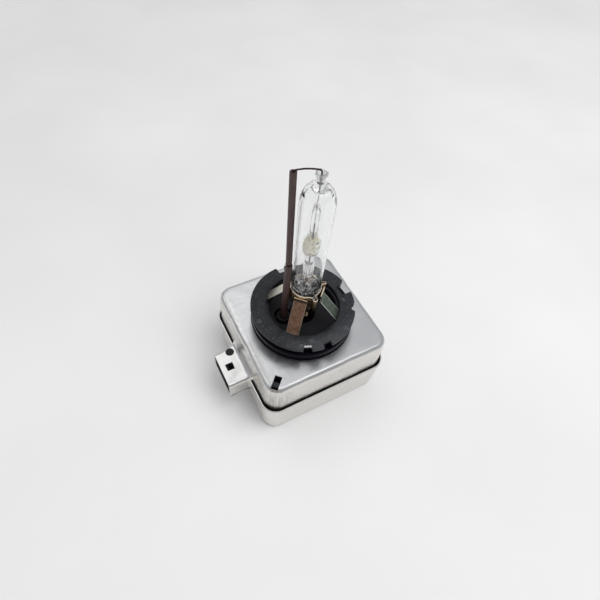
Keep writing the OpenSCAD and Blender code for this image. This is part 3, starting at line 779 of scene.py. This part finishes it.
def make_upper_shield():
    """The skin with its top hole, joined to the connector's sleeve, then cut for the openings."""
    outer, inner = shield_skin(0), shield_skin(SHEET)
    shield = loft("upper_shield_skin", outer + inner[::-1], closed=True)
    on_top = CAN_TOP - 0.6

    def calm(place):
        # the sheet stays true at its rim and where the seal sits
        rim = unit((place.z - CAN_RIM) / 3)
        seat = unit((math.hypot(place.x, place.y) - 15.2) / 2.5)
        return rim * (0.5 * seat if place.z > on_top else 1)

    def calmer(place):
        return calm(place) * (0.3 if place.z > on_top else 1)

    ripple(shield, 0.085, 7.0, 3.1, calm)
    ripple(shield, 0.030, 2.4, 8.4, calmer)
    dent(shield, [((6.5, -20.6, -7.2), 2.6, 0.16), ((14.5, -20.4, -7.0), 1.8, 0.12),
                  ((-9.0, -20.7, -7.8), 2.2, 0.10), ((-20.6, -3.0, -7.6), 2.4, 0.13),
                  ((-20.8, 8.5, -8.4), 2.2, 0.10), ((20.6, 4.0, -7.4), 2.0, 0.10),
                  ((-20.7, -12.5, -11.0), 3.0, 0.12), ((3.0, 20.8, -8.0), 2.4, 0.10)])

    def between_ends(place):
        return min(unit((-21.6 - place.x) / 2), unit((place.x - SLEEVE_X) / 2))

    stations = [SLEEVE_X, SLEEVE_X + 0.12] + [SLEEVE_X + 0.7 + 0.7 * i for i in range(8)]
    stations += [-22.6 + 0.18 * i for i in range(10)]
    sleeve = loft("sleeve", [sleeve_section(x) for x in stations])
    ripple(sleeve, 0.07, 3.4, 5.0, between_ends)
    dent(sleeve, [((-24.0, -5.2, SLEEVE_TOP), 2.4, 0.22), ((-26.6, -7.0, SLEEVE_TOP), 2.0, 0.14)],
         Vector((0, 0, -1)))
    combine(shield, "UNION", sleeve)
    opening = block("opening", (-22.3, SLEEVE_Y - SLEEVE_W / 2 + SHEET, SLEEVE_SKIRT - 1),
                    (-19, SLEEVE_Y + SLEEVE_W / 2 - SHEET, SLEEVE_TOP - SHEET))
    stud_hole = lathe("stud_hole", [(0, -20), (1.4, -20), (1.4, -15), (0, -15)], 48, STUD)
    window = block("window", (LATCH[0] - 1.25, LATCH[1] - 1.25, -19.5), (LATCH[0] + 1.25, LATCH[1] + 1.25, -15))
    slot = turned_block("slot", (22.6, -1.1, CAN_TOP - 3), (26.9, 1.1, CAN_TOP + 2), -135)
    combine(shield, "DIFFERENCE", opening, stud_hole, window, slot)
    finish_piece(shield, "shield_metal", "upper_shield", 48)


def tray_skin(inset):
    """Loops of the lower shield's skin from the middle of its bottom to its rim."""
    bend = BEND - inset
    knee = TRAY_LOW + BEND
    low_half = TRAY_HALF - 0.7 - inset
    rim = TRAY_HALF - inset
    corner = TRAY_CORNER - inset
    flat = square_loop(low_half - bend, corner - 1.1, TRAY_LOW + inset)
    loops = [[(x * s, y * s, z) for x, y, z in flat] for s in (0.06, 0.2, 0.4, 0.6, 0.8)]
    for i in range(9):
        a = math.radians(90 * i / 8)
        out = bend * math.sin(a)
        loops.append(square_loop(low_half - bend + out, corner - 1.1 + 0.7 * math.sin(a),
                                 knee - bend * math.cos(a)))
    for i in range(1, 13):
        share = i / 12
        loops.append(square_loop(low_half + (rim - low_half) * share, corner - 0.4 + 0.4 * share,
                                 knee + (TRAY_TOP - 0.08 - knee) * share))
    return loops


def make_lower_shield():
    """The tray with the plate under the plug, and the notch the sleeve comes out of."""
    outer, inner = tray_skin(0), tray_skin(SHEET)
    lip = [square_loop(TRAY_HALF - 0.1, 5.0, TRAY_TOP), square_loop(TRAY_HALF - SHEET + 0.1, 4.8, TRAY_TOP)]
    tray = loft("lower_shield_skin", outer + lip + inner[::-1])

    def calm(place):
        return unit((TRAY_TOP - place.z) / 3) * unit((place.z - TRAY_LOW) / 2)

    ripple(tray, 0.07, 8.0, 12.0, calm)
    half_w = SLEEVE_W / 2 + 0.15
    plate = block("plate", (SLEEVE_X + 0.2, SLEEVE_Y - half_w, SLEEVE_FLOOR - SHEET),
                  (-21.7, SLEEVE_Y + half_w, SLEEVE_FLOOR))
    soften(plate, 0.1)
    combine(tray, "UNION", plate)
    notch = block("notch", (-23, SLEEVE_Y - half_w - 0.25, SLEEVE_FLOOR), (-20, SLEEVE_Y + half_w + 0.25, -17))
    combine(tray, "DIFFERENCE", notch)
    finish_piece(tray, "shield_metal", "lower_shield", 48)


# ---- the base ----

# Corners of each notch in the flange, anticlockwise from rim to rim
NOTCHES = [
    [polar(FLANGE_R, -117.6), polar(14.9, -117.6), polar(14.9, -108.3), polar(FLANGE_R, -108.3)],
    [polar(FLANGE_R, -95.0), polar(14.7, -95.0), polar(14.7, -85.6), polar(FLANGE_R, -85.6)],
    [polar(FLANGE_R, -34.0), (12.9, -8.4), (12.9, -6.9), (14.2, -6.9), polar(FLANGE_R, -22.3)],
    [polar(FLANGE_R, -7.3), (12.7, -2.05), (12.7, 1.6), (14.3, 1.4), polar(FLANGE_R, 10.1)],
    [polar(FLANGE_R, 85.0), polar(14.1, 85.0), polar(14.1, 94.7), polar(FLANGE_R, 94.7)],
]


def rounded_corner(before, corner, after, reach):
    """Points of a curve that leaves a corner out, from reach before it to reach after it."""
    a = corner + (before - corner).normalized() * reach
    b = corner + (after - corner).normalized() * reach
    return [(1 - t) ** 2 * a + 2 * t * (1 - t) * corner + t * t * b for t in (0, 0.25, 0.5, 0.75, 1)]


def bearing(point):
    """The angle of a point about the bulb's axis."""
    return math.degrees(math.atan2(point[1], point[0]))


def flange_outline():
    """The notched rim as one list of points, anticlockwise."""
    outline = []
    for i, notch in enumerate(NOTCHES):
        start, end = bearing(notch[0]), bearing(notch[-1])
        corners = [Vector(polar(FLANGE_R, start - 3))] + [Vector(corner) for corner in notch]
        corners.append(Vector(polar(FLANGE_R, end + 3)))
        for before, corner, after in zip(corners, corners[1:], corners[2:]):
            outline += rounded_corner(before, corner, after, 0.3)
        low = end + 1.7
        high = bearing(NOTCHES[(i + 1) % len(NOTCHES)][0]) - 1.7
        high += 360 if high < low else 0
        steps = int((high - low) / 2.2) + 1
        outline += [Vector(polar(FLANGE_R, low + (high - low) * k / steps)) for k in range(steps + 1)]
    return outline


def inset_outline(outline, distance):
    """An anticlockwise outline moved inwards."""
    moved = []
    count = len(outline)
    for i, point in enumerate(outline):
        way = (outline[(i + 1) % count] - outline[i - 1]).normalized()
        moved.append(point + Vector((-way.y, way.x)) * distance)
    return moved


def make_base_ring():
    """The flange as a notched plate, joined to its neck, then cut out for the well, the pit and the seats."""
    outline = flange_outline()

    def rim(distance, z):
        return [(p.x, p.y, z) for p in inset_outline(outline, distance)]

    ring = loft("base_moulding", [rim(0.10, -FLANGE_T), rim(0, -FLANGE_T + 0.1), rim(0, -0.12),
                                  rim(0.03, -0.04), rim(0.08, 0), rim(0.14, 0)])
    neck = lathe("neck", [(0, BASE_LOW), (NECK_R, BASE_LOW), (NECK_R, -1.9), (13.05, -1.5), (13.05, -1.2),
                          (0, -1.2)], 160)
    well = lathe("well", [
        (0, BASE_LOW - 1), (PIT_R, BASE_LOW - 1), (PIT_R, WELL_Z - 0.15), (PIT_R + 0.15, WELL_Z), (7, WELL_Z),
        (LEDGE_R - 0.3, WELL_Z), (LEDGE_R - 0.08, WELL_Z + 0.08), (LEDGE_R, WELL_Z + 0.3), (LEDGE_R, LEDGE_Z),
        (WELL_R - 0.05, LEDGE_Z), (WELL_R, LEDGE_Z + 0.05), (WELL_R, -0.12), (WELL_R + 0.05, -0.03),
        (WELL_R + 0.2, 0.04), (WELL_R + 0.2, 1), (0, 1)], 160)
    foot = (FOOT.x, FOOT.y)
    moat_r, moat_z = 3.1, WELL_Z - 1.6
    moat = lathe("moat", [(0, moat_z), (moat_r, moat_z), (moat_r, WELL_Z + 0.03), (0, WELL_Z + 0.03)], 64, foot)
    groove = [(MARK_INNER_R, -MARK_DEPTH), (MARK_R, -MARK_DEPTH), (MARK_R, 0.5), (MARK_INNER_R, 0.5)]
    marks = [lathe(f"mark_{i}", groove, 32, polar(*mark)) for i, mark in enumerate(MARKS)]
    seats = [turned_block(f"seat_{angle}", (10.2, -2.05, -0.9), (12.5, 2.05, -0.3), angle)
             for angle in LEG_ANGLES]
    combine(ring, "UNION", neck)
    combine(ring, "DIFFERENCE", well, moat, *marks, *seats)
    boss = lathe("boss", [(1.17, -6.6), (2.15, -6.6), (2.15, -4.15), (2.1, -4.04), (1.98, -4.0),
                          (1.32, -4.0), (1.22, -4.04), (1.17, -4.15)], 64, foot)
    combine(ring, "UNION", boss)
    finish_piece(ring, "base_plastic", "base_ring", 32)


def make_seal():
    """A ring with a lip, a groove and a rounded top edge."""
    low, high = seal_low.z, seal_high.z
    r = seal_high.x
    inner = NECK_R + 0.03
    profile = [(inner, low)]
    profile += [(r - 0.30 + x, low + 0.28 + z) for x, z in arc((0, 0), 0.28, -90, 70, 8)]
    profile += [(r - 0.42, low + 0.72), (r - 0.42, low + 0.86)]
    profile += [(r - 0.62 + x, low + 1.3 + z) for x, z in arc((0, 0), 0.42, -75, 0, 5)]
    profile += [(r - 0.2, high - 0.6)]
    profile += [(r - 0.7 + x, high - 0.5 + z) for x, z in arc((0, 0), 0.5, 0, 90, 6)]
    profile += [(inner, high)]
    seal = lathe("seal_rubber_ring", profile, 160)
    finish_piece(seal, "seal_rubber", "seal_ring", 50)


# ---- the burner ----

def make_outer_bulb():
    """The jacket, drawn in at its foot to a thin crumpled funnel that is fused to the arc tube."""
    shoulder = TIP_Z - 9.5
    inner = BULB_R - JACKET_WALL

    def dome(radius, neck, z, height):
        return [(neck + (radius - neck) * cosd(a), z + height * sind(a))
                for a in range(0, 87, 6)]

    hollow = dome(inner, 2.0, shoulder - 0.2, 5.2)
    cone = [(0, shoulder + 3.5), (0.3, shoulder + 3.6), (0.6, shoulder + 3.95), (0.95, shoulder + 4.4),
            (1.3, shoulder + 4.75), (1.65, shoulder + 4.95), (1.95, shoulder + 5.02)]
    funnel = [(3.60, 10.0), (3.35, 9.0), (3.05, 8.0), (2.75, 7.1), (2.45, 6.4), (2.10, 5.8), (1.62, 5.3)]
    under = [(1.62, 4.9), (2.25, 5.3), (2.70, 5.9), (3.05, 6.6), (3.40, 7.4), (3.65, 7.9),
             (inner - 0.04, 7.5), (inner - 0.04, 6.0), (inner - 0.04, 3.5)]
    outer = [(BULB_R - 0.12, 3.5), (BULB_R, 3.65), (BULB_R, 9), (BULB_R, 20), (BULB_R, 32)]
    outer += dome(BULB_R, 1.1, shoulder, 5.95)
    tip = [(0.9, -2.9), (0.86, -2.4), (0.95, -1.8), (1.15, -1.2), (1.40, -0.75), (1.50, -0.45), (1.42, -0.25),
           (1.15, -0.35), (0.75, -0.75), (0.42, -1.1), (0, -1.2)]
    outer += [(radius, TIP_Z + z) for radius, z in tip]

    def crumpled(radius, angle, z):
        around = Vector((math.cos(angle), math.sin(angle), 0))
        if z > TIP_Z - 2.6:
            lump = noise.noise(around * 1.4 + Vector((0, 0, z * 0.9)))
            return radius * (1 + 0.18 * lump), z + 0.3 * lump
        if radius < 3.4 and shoulder + 3 < z < shoulder + 5.1:
            lump = noise.fractal(around * 1.6 + Vector((5, 0, z * 0.5)), 1.0, 2.0, 2)
            return radius * (1 + 0.10 * lump), z + 0.22 * lump
        if 1.7 < radius < 3.75 and z < 11:
            share = unit((9.6 - z) / 2)
            lump = noise.fractal(around * 2.1 + Vector((0, 0, z * 0.35)), 1.0, 2.0, 2)
            return min(radius * (1 + 0.24 * share * lump), 3.72), z
        return radius, z

    profile = cone + hollow[::-1]
    profile += [(inner, 34), (inner, 27), (inner, 20), (inner, 14), (inner - 0.06, 11.6)]
    profile += funnel + under + outer
    jacket = lathe("quartz_jacket_skin", profile, 128, shift=crumpled)
    finish_piece(jacket, "quartz_jacket", "outer_bulb", 60)


def chamber_z(half, angle):
    """Height on the chamber's outline, which is blunter below the arc than above it."""
    return LIGHT_Z + half * sind(angle) * (1 if angle > 0 else 0.78)


def chamber(radius, half, steps, reach):
    """Half an oval about the arc's height."""
    return [(radius * cosd(a), chamber_z(half, a))
            for a in [-reach + 2 * reach * i / steps for i in range(steps + 1)]]


def make_arc_tube():
    def pinched(radius, angle, z):
        # the lower stem is pinched round its foil, so it is uneven
        share = unit((15.5 - z) / 3)
        lump = noise.fractal(Vector((math.cos(angle) * 1.3, math.sin(angle) * 1.3, z * 0.75 + 4)), 1.0, 2.0, 2)
        flat = 1 - 0.10 * share * (1 + math.cos(2 * (angle - math.radians(56 + 90)))) / 2
        wide = radius * flat * (1 + 0.26 * share * lump)
        return (min(wide, LOW_STEM_R) if z < 20 else radius), z

    profile = [(0, 4.0), (0.9, 4.05), (1.35, 4.4)]
    profile += [(LOW_STEM_R - 0.12 * (i % 2), 5.0 + i) for i in range(13)]
    profile += [(LOW_STEM_R, 18.4), (LOW_STEM_R - 0.1, 19.8), (1.30, 21.0), (1.28, 22.0), (1.45, 22.6),
                (1.72, 23.2)]
    profile += chamber(2.7, 4.4, 22, 48)[1:]
    profile += [(1.50, 30.4), (1.20, 30.75), (STEM_R, 31.4), (STEM_R, 34), (STEM_R, 38.4), (0.98, 39.2),
                (0.80, 40.0), (0.55, 40.6), (0.30, STEM_TOP - 0.1), (0, STEM_TOP)]
    tube = lathe("arc_quartz_tube", profile, 96, shift=pinched)
    cavity = lathe("cavity", [(0, chamber_z(CAVITY_HALF, -90))] + chamber(CAVITY_R, CAVITY_HALF, 24, 82)
                   + [(0, chamber_z(CAVITY_HALF, 90))], 64)
    combine(tube, "DIFFERENCE", cavity)
    finish_piece(tube, "arc_quartz", "arc_tube", 60)


def make_halide():
    """A ragged pale crust on one side of the chamber's wall."""
    rows, columns = 44, 72
    past_wall = 1.015
    points, keep = [], []
    for i in range(rows):
        rise = -74 + 128 * i / (rows - 1)
        lift = math.radians(rise)
        out = past_wall * CAVITY_R * math.cos(lift)
        height = chamber_z(past_wall * CAVITY_HALF, rise)
        for k in range(columns):
            turn = 2 * math.pi * k / columns
            points.append((out * math.cos(turn), out * math.sin(turn), height))
            side = math.cos(turn - math.radians(182))
            patch = noise.fractal(Vector(points[-1]) * 0.9 + Vector((3, 1, 7)), 1.0, 2.0, 3)
            low = 1 - max(lift, -0.9) * 0.35
            keep.append(side * 0.75 + patch * 0.9 + 0.15 * low > 0.0)
    faces = []
    for i in range(rows - 1):
        for k in range(columns):
            corner = (i * columns + k, i * columns + (k + 1) % columns,
                      (i + 1) * columns + (k + 1) % columns, (i + 1) * columns + k)
            if sum(keep[v] for v in corner) >= 3:
                faces.append(corner)
    crust = new_object("halide_crust", new_mesh("halide_crust", points, faces))
    with editing(crust.data) as work:
        bmesh.ops.delete(work, geom=[v for v in work.verts if not v.link_faces], context="VERTS")
        bmesh.ops.recalc_face_normals(work, faces=work.faces)
    skin = crust.modifiers.new("thickness", "SOLIDIFY")
    skin.thickness = 0.10 * MM
    skin.offset = -1
    apply_modifiers(crust)
    ripple(crust, 0.03, 0.5, 2.0)
    finish_piece(crust, "halide_salt", "halide_fill", 60)


def stand_along(obj, start, end):
    """Turns and moves something built upwards from the origin so that it runs from start towards end."""
    way = (end - start).normalized()
    turn = Vector((0, 0, 1)).rotation_difference(way).to_matrix().to_4x4()
    obj.data.transform(Matrix.Translation(start * MM) @ turn)


def make_return_tube(name, node, start, end, radius, foot, mouth, rows):
    """A slightly uneven tube. Its profile starts with foot, and ends with mouth, measured down."""
    def rough(r, angle, z):
        lump = noise.noise(Vector((math.cos(angle) * 1.2, math.sin(angle) * 1.2, z * 0.25)))
        return r * (1 + 0.012 * lump), z

    length = (end - start).length
    profile = foot + [(radius, length * i / rows) for i in range(1, rows)]
    profile += [(r, length - down) for r, down in mouth]
    tube = lathe(name, profile, 48, shift=rough)
    stand_along(tube, start, end)
    finish_piece(tube, "brown_ceramic", node, 50)


def make_return_wire():
    """Up through the tubes, over in a low arch, and down into the glass tip."""
    below = FOOT + (FOOT - JOINT).normalized() * 6
    path = [TUBE_TOP + Vector(step) for step in [
        (0, 0, -1.2), (0, 0, -0.6), (0.03, 0, -0.05), (0.35, -0.15, 0.30), (1.1, -0.5, 0.52)]]
    path += [(x, y, TIP_Z + z) for x, y, z in [
        (-3.4, 1.5, 0.74), (-1.9, 0.85, 0.74), (-0.75, 0.34, 0.62), (-0.18, 0.08, 0.36), (0, 0, -0.1),
        (0, 0, -0.6)]]
    wire = sweep("return_lead", [below, FOOT, JOINT] + smooth_path(path, 8), 0.2, 14)
    finish_piece(wire, "oxidised_wire", "return_wire", 60)


# ---- the clamp and its legs ----

def turned(point, degrees):
    c, s = cosd(degrees), sind(degrees)
    return Vector((point[0] * c - point[1] * s, point[0] * s + point[1] * c))


def band_line():
    """The band's middle line: a ring with a rounded tension loop and a narrow closing fold."""
    line = [turned(p, LOOP_ANGLE) for p in
            [(4.95, -0.62), (5.3, -0.52)] + arc((5.8, 0), 0.66, -118, 118, 14) + [(5.3, 0.52), (4.95, 0.62)]]
    line += [Vector(polar(BAND_R, a)) for a in range(LOOP_ANGLE + 11, FLAP_ANGLE - 6, 5)]
    line += [turned(p, FLAP_ANGLE) for p in
             [(4.72, -0.46), (4.98, -0.34)] + arc((5.72, 0), 0.33, -90, 90, 8) + [(4.98, 0.34), (4.72, 0.46)]]
    line += [Vector(polar(BAND_R, a)) for a in range(FLAP_ANGLE + 8, LOOP_ANGLE + 350, 5)]
    return line


def offset_loop(line, distance, z):
    """An anticlockwise closed line moved outwards, at one height."""
    count = len(line)
    loop = []
    for i, point in enumerate(line):
        way = (line[(i + 1) % count] - line[i - 1]).normalized()
        side = Vector((way.y, -way.x)) * distance
        loop.append((point.x + side.x, point.y + side.y, z))
    return loop


def make_clamp():
    """The band with its rounded edges, and the thin tail that hangs from it."""
    line = band_line()
    half = BAND_T / 2
    low, high = BAND_LOW, BAND_TOP
    levels = [(-half + 0.03, low), (half - 0.05, low), (half, low + 0.06)]
    levels += [(half, low + 0.8 * i) for i in range(1, 6)]
    levels += [(half, high - 0.4), (half, high - 0.06), (half - 0.04, high), (-half + 0.04, high),
               (-half, high - 0.06), (-half, high - 0.4)]
    levels += [(-half, low + 0.8 * i) for i in range(5, 0, -1)] + [(-half, low + 0.06)]
    band = loft("spring_band", [offset_loop(line, d, z) for d, z in levels], closed=True)
    tail = smooth_path([polar(*point) for point in [
        (4.78, -110, 5.1), (4.80, -110, 3.6), (4.95, -110.5, 2.7), (5.35, -111.5, 2.15), (5.8, -113, 2.05),
        (6.05, -114.5, 2.4), (5.95, -116, 2.8)]], 6)
    ribbon = loft("tail", [ribbon_section(tail, i, 0.55, 0.12) for i in range(len(tail))])
    combine(band, "UNION", ribbon)
    finish_piece(band, "band_metal", "clamp_ring", 50)


def ribbon_section(path, i, half_width, half_thick):
    """A rounded strip's outline at one point of a path that goes down the band."""
    along = heading(path, i)
    across = Vector((-path[i].y, path[i].x, 0)).normalized()
    across = (across - along * across.dot(along)).normalized()
    out = along.cross(across)
    return [path[i] + across * half_width * math.cos(a) + out * half_thick * math.sin(a)
            for a in [2 * math.pi * k / 12 for k in range(12)]]


def make_leg(index, angle):
    """A flat tab on the band, then a straight slope out into its seat in the flange."""
    # the leg beside the band's fold stands off it and bends lower down
    tab, drop = (BULB_R + 0.75, 1.4) if index == 1 else (BULB_R + 0.47, 0)
    bends = [Vector(p) for p in [(tab, 8.8), (tab, 8.2 - drop / 2), (tab, 7.75 - drop),
                                 (tab + 0.05, 7.5 - drop), (tab + 0.2, 7.2 - drop)]]
    start, end = bends[-1], Vector((LEDGE_R, -0.2))
    slope = [start + (end - start) * i / 10 for i in range(1, 11)]
    path = bends + slope + [Vector((10.95, -0.44)), Vector((11.3, -0.6)), Vector((12.2, -0.6))]
    half_w, half_t, edge = 1.95, 0.17, 0.06
    outline = [(-half_w, -half_t + edge), (-half_w + edge, -half_t)]
    outline += [(-half_w + 2 * half_w * i / 8, -half_t) for i in range(1, 8)]
    outline += [(half_w - edge, -half_t), (half_w, -half_t + edge), (half_w, half_t - edge),
                (half_w - edge, half_t)]
    outline += [(half_w - 2 * half_w * i / 8, half_t) for i in range(1, 8)]
    outline += [(-half_w + edge, half_t), (-half_w, half_t - edge)]
    loops = []
    for i, point in enumerate(path):
        way = heading(path, i)
        side = Vector((-way.y, way.x))
        loops.append([(point.x + side.x * t, w, point.y + side.y * t) for w, t in outline])
    leg = loft(f"support_leg_{index + 1}", loops)
    ripple(leg, 0.035, 2.5, 4.0 + index, lambda place: unit((place.z + 0.2) / 1.5))
    leg.data.transform(Matrix.Rotation(math.radians(angle), 4, "Z"))
    finish_piece(leg, "leg_metal", f"leg_{index + 1}", 35, list(LEG_METALS)[index])


# ---- the connector's plastic ----

def make_connector_shell():
    """The socket: a tube with a hole and a catch under the latch window, and a stud on its roof."""
    low, high = shell_low, shell_high
    roof = SLEEVE_TOP - SHEET - 0.1
    wall = 0.8
    latch_x, latch_y = LATCH
    shell = block("socket", (low.x, low.y, low.z), (high.x, high.y, roof))
    cavity = block("cavity", (low.x - 1, low.y + wall, low.z + wall), (-19, high.y - wall, roof - wall))
    window = block("window_hole", (latch_x - 1.1, latch_y - 1.1, roof - 2),
                   (latch_x + 1.1, latch_y + 1.1, roof + 1))
    combine(shell, "DIFFERENCE", cavity, window)
    soften(shell, 0.12)
    catch = block("catch", (latch_x - 0.75, latch_y - 0.15, roof - 1.0),
                  (latch_x - 0.55, latch_y + 1.15, roof - 0.35))
    profile = [(0, roof - 0.45), (1.22, roof - 0.45), (1.22, high.z - 0.14), (1.18, high.z - 0.04),
               (1.08, high.z), (0.75, high.z), (0.62, high.z - 0.06), (0, high.z - 0.1)]
    combine(shell, "UNION", catch, lathe("stud", profile, 48, STUD))
    finish_piece(shell, "connector_plastic", "connector_shell", 32)


make_upper_shield()
make_lower_shield()
make_base_ring()
make_seal()
make_outer_bulb()
make_arc_tube()
make_halide()
make_return_tube("brown_sleeve_lower", "return_tube_lower", FOOT, JOINT, 1.05,
                 [(0.3, 0), (1.05 - 0.1, 0), (1.05, 0.12)],
                 [(1.05, 0.16), (1.05 - 0.05, 0.04), (1.05 - 0.14, 0), (0.80, 0.02), (0.72, 0.12), (0.68, 1.2),
                  (0.3, 1.5)], 16)
make_return_tube("brown_sleeve_upper", "return_tube_upper", JOINT + Vector((0, 0, 0.3)), TUBE_TOP, 0.87,
                 [(0.3, 0), (0.87 - 0.14, 0), (0.87 - 0.03, 0.1), (0.87, 0.25)],
                 [(0.87, 0.2), (0.87 - 0.04, 0.06), (0.87 - 0.12, 0), (0.55, 0.02), (0.42, 0.12), (0.36, 1.0),
                  (0.3, 1.3)], 20)
make_return_wire()
make_clamp()
for leg_index, leg_angle in enumerate(LEG_ANGLES):
    make_leg(leg_index, leg_angle)
make_connector_shell()


# ---- floor, light and camera ----

def make_floor():
    """A plain pale sheet, in squares."""
    n = Nodes("floor_paper")
    soft = n.noise(0.012, 3, 0.5)
    color = n.mix(n.remap(soft, 0.35, 0.65), (0.86, 0.86, 0.855), (0.91, 0.91, 0.908))
    n.set(Base_Color=color, Roughness=0.75, Specular_IOR_Level=0.2)
    size = 1200
    steps = 24
    points = [(-size / 2 + size * i / steps, -size / 2 + size * k / steps, TRAY_LOW)
              for i in range(steps + 1) for k in range(steps + 1)]
    faces = [(a, a + steps + 1, a + steps + 2, a + 1)
             for i in range(steps) for k in range(steps) for a in [i * (steps + 1) + k]]
    floor = new_object("studio_floor", new_mesh("studio_floor", points, faces))
    floor.data.materials.append(MATERIALS["floor_paper"])


def direction(azimuth, elevation):
    return Vector(polar(cosd(elevation), azimuth, sind(elevation)))


def make_sky():
    """A soft room: even grey-white, with smooth brighter and darker patches.

    Each patch has a direction, the cosines where it starts and is full, and the colour it mixes in."""
    patches = [
        (direction(118, 57), 0.90, 0.98, (1.15, 1.15, 1.14)),
        (direction(72, 57), 0.970, 0.997, (1.25, 1.25, 1.24)),
        (direction(151, 10), 0.965, 0.99, (0.34, 0.34, 0.34)),
        (direction(-10, 76), 0.95, 0.99, (1.8, 1.8, 1.8)),
        (direction(-95, 30), 0.80, 0.95, (0.36, 0.35, 0.34)),
        (direction(-140, 14), 0.86, 0.97, (0.30, 0.25, 0.22)),
        (direction(30, 8), 0.70, 0.95, (0.42, 0.43, 0.43)),
    ]
    world = bpy.data.worlds.new("studio")
    n = Nodes(world, "Generated")
    color = (0.455, 0.46, 0.475)
    for way, start, full, tint in patches:
        facing = n.vector("DOT_PRODUCT", n.coord, way)
        patch = n.add("ShaderNodeMapRange", [("Value", facing), ("From Min", start), ("From Max", full)],
                      interpolation_type="SMOOTHSTEP")
        color = n.mix(patch.outputs["Result"], color, tint)
    n.feed(n.tree.nodes["Background"].inputs["Color"], color)
    bpy.context.scene.world = world


def area_light(name, place, size, power):
    """A round soft light aimed at the origin, left out of reflections."""
    light = bpy.data.lights.new(name, "AREA")
    light.shape = "DISK"
    light.size = size * MM
    light.energy = power
    lamp = new_object(name, light)
    lamp.location = place * MM
    lamp.rotation_euler = (-place).to_track_quat("-Z", "Y").to_euler()
    lamp.visible_glossy = False


def make_camera(azimuth=-33.954, elevation=53.97, roll=7.53, distance=137.49, lens=26.71):
    """The photographer's view: from the front, turned by azimuth, above the object, and rolled a little."""
    back = Vector((sind(azimuth) * cosd(elevation), -cosd(azimuth) * cosd(elevation), sind(elevation)))
    right = Vector((cosd(azimuth), sind(azimuth), 0))
    up = back.cross(right)
    across = cosd(roll) * right + sind(roll) * up
    above = -sind(roll) * right + cosd(roll) * up
    place = back * distance - across * 0.99 + above * 1.20
    data = bpy.data.cameras.new("camera")
    data.lens = lens
    data.sensor_width = 36
    data.clip_start = 0.005
    camera = new_object("camera", data)
    turn = Matrix((across, above, back)).transposed().to_4x4()
    camera.matrix_world = Matrix.Translation(place * MM) @ turn
    bpy.context.scene.camera = camera


make_floor()
make_sky()
area_light("ceiling", direction(-50, 60) * 700, 560, 2.5)
make_camera()
bpy.context.scene.view_settings.view_transform = "Standard"
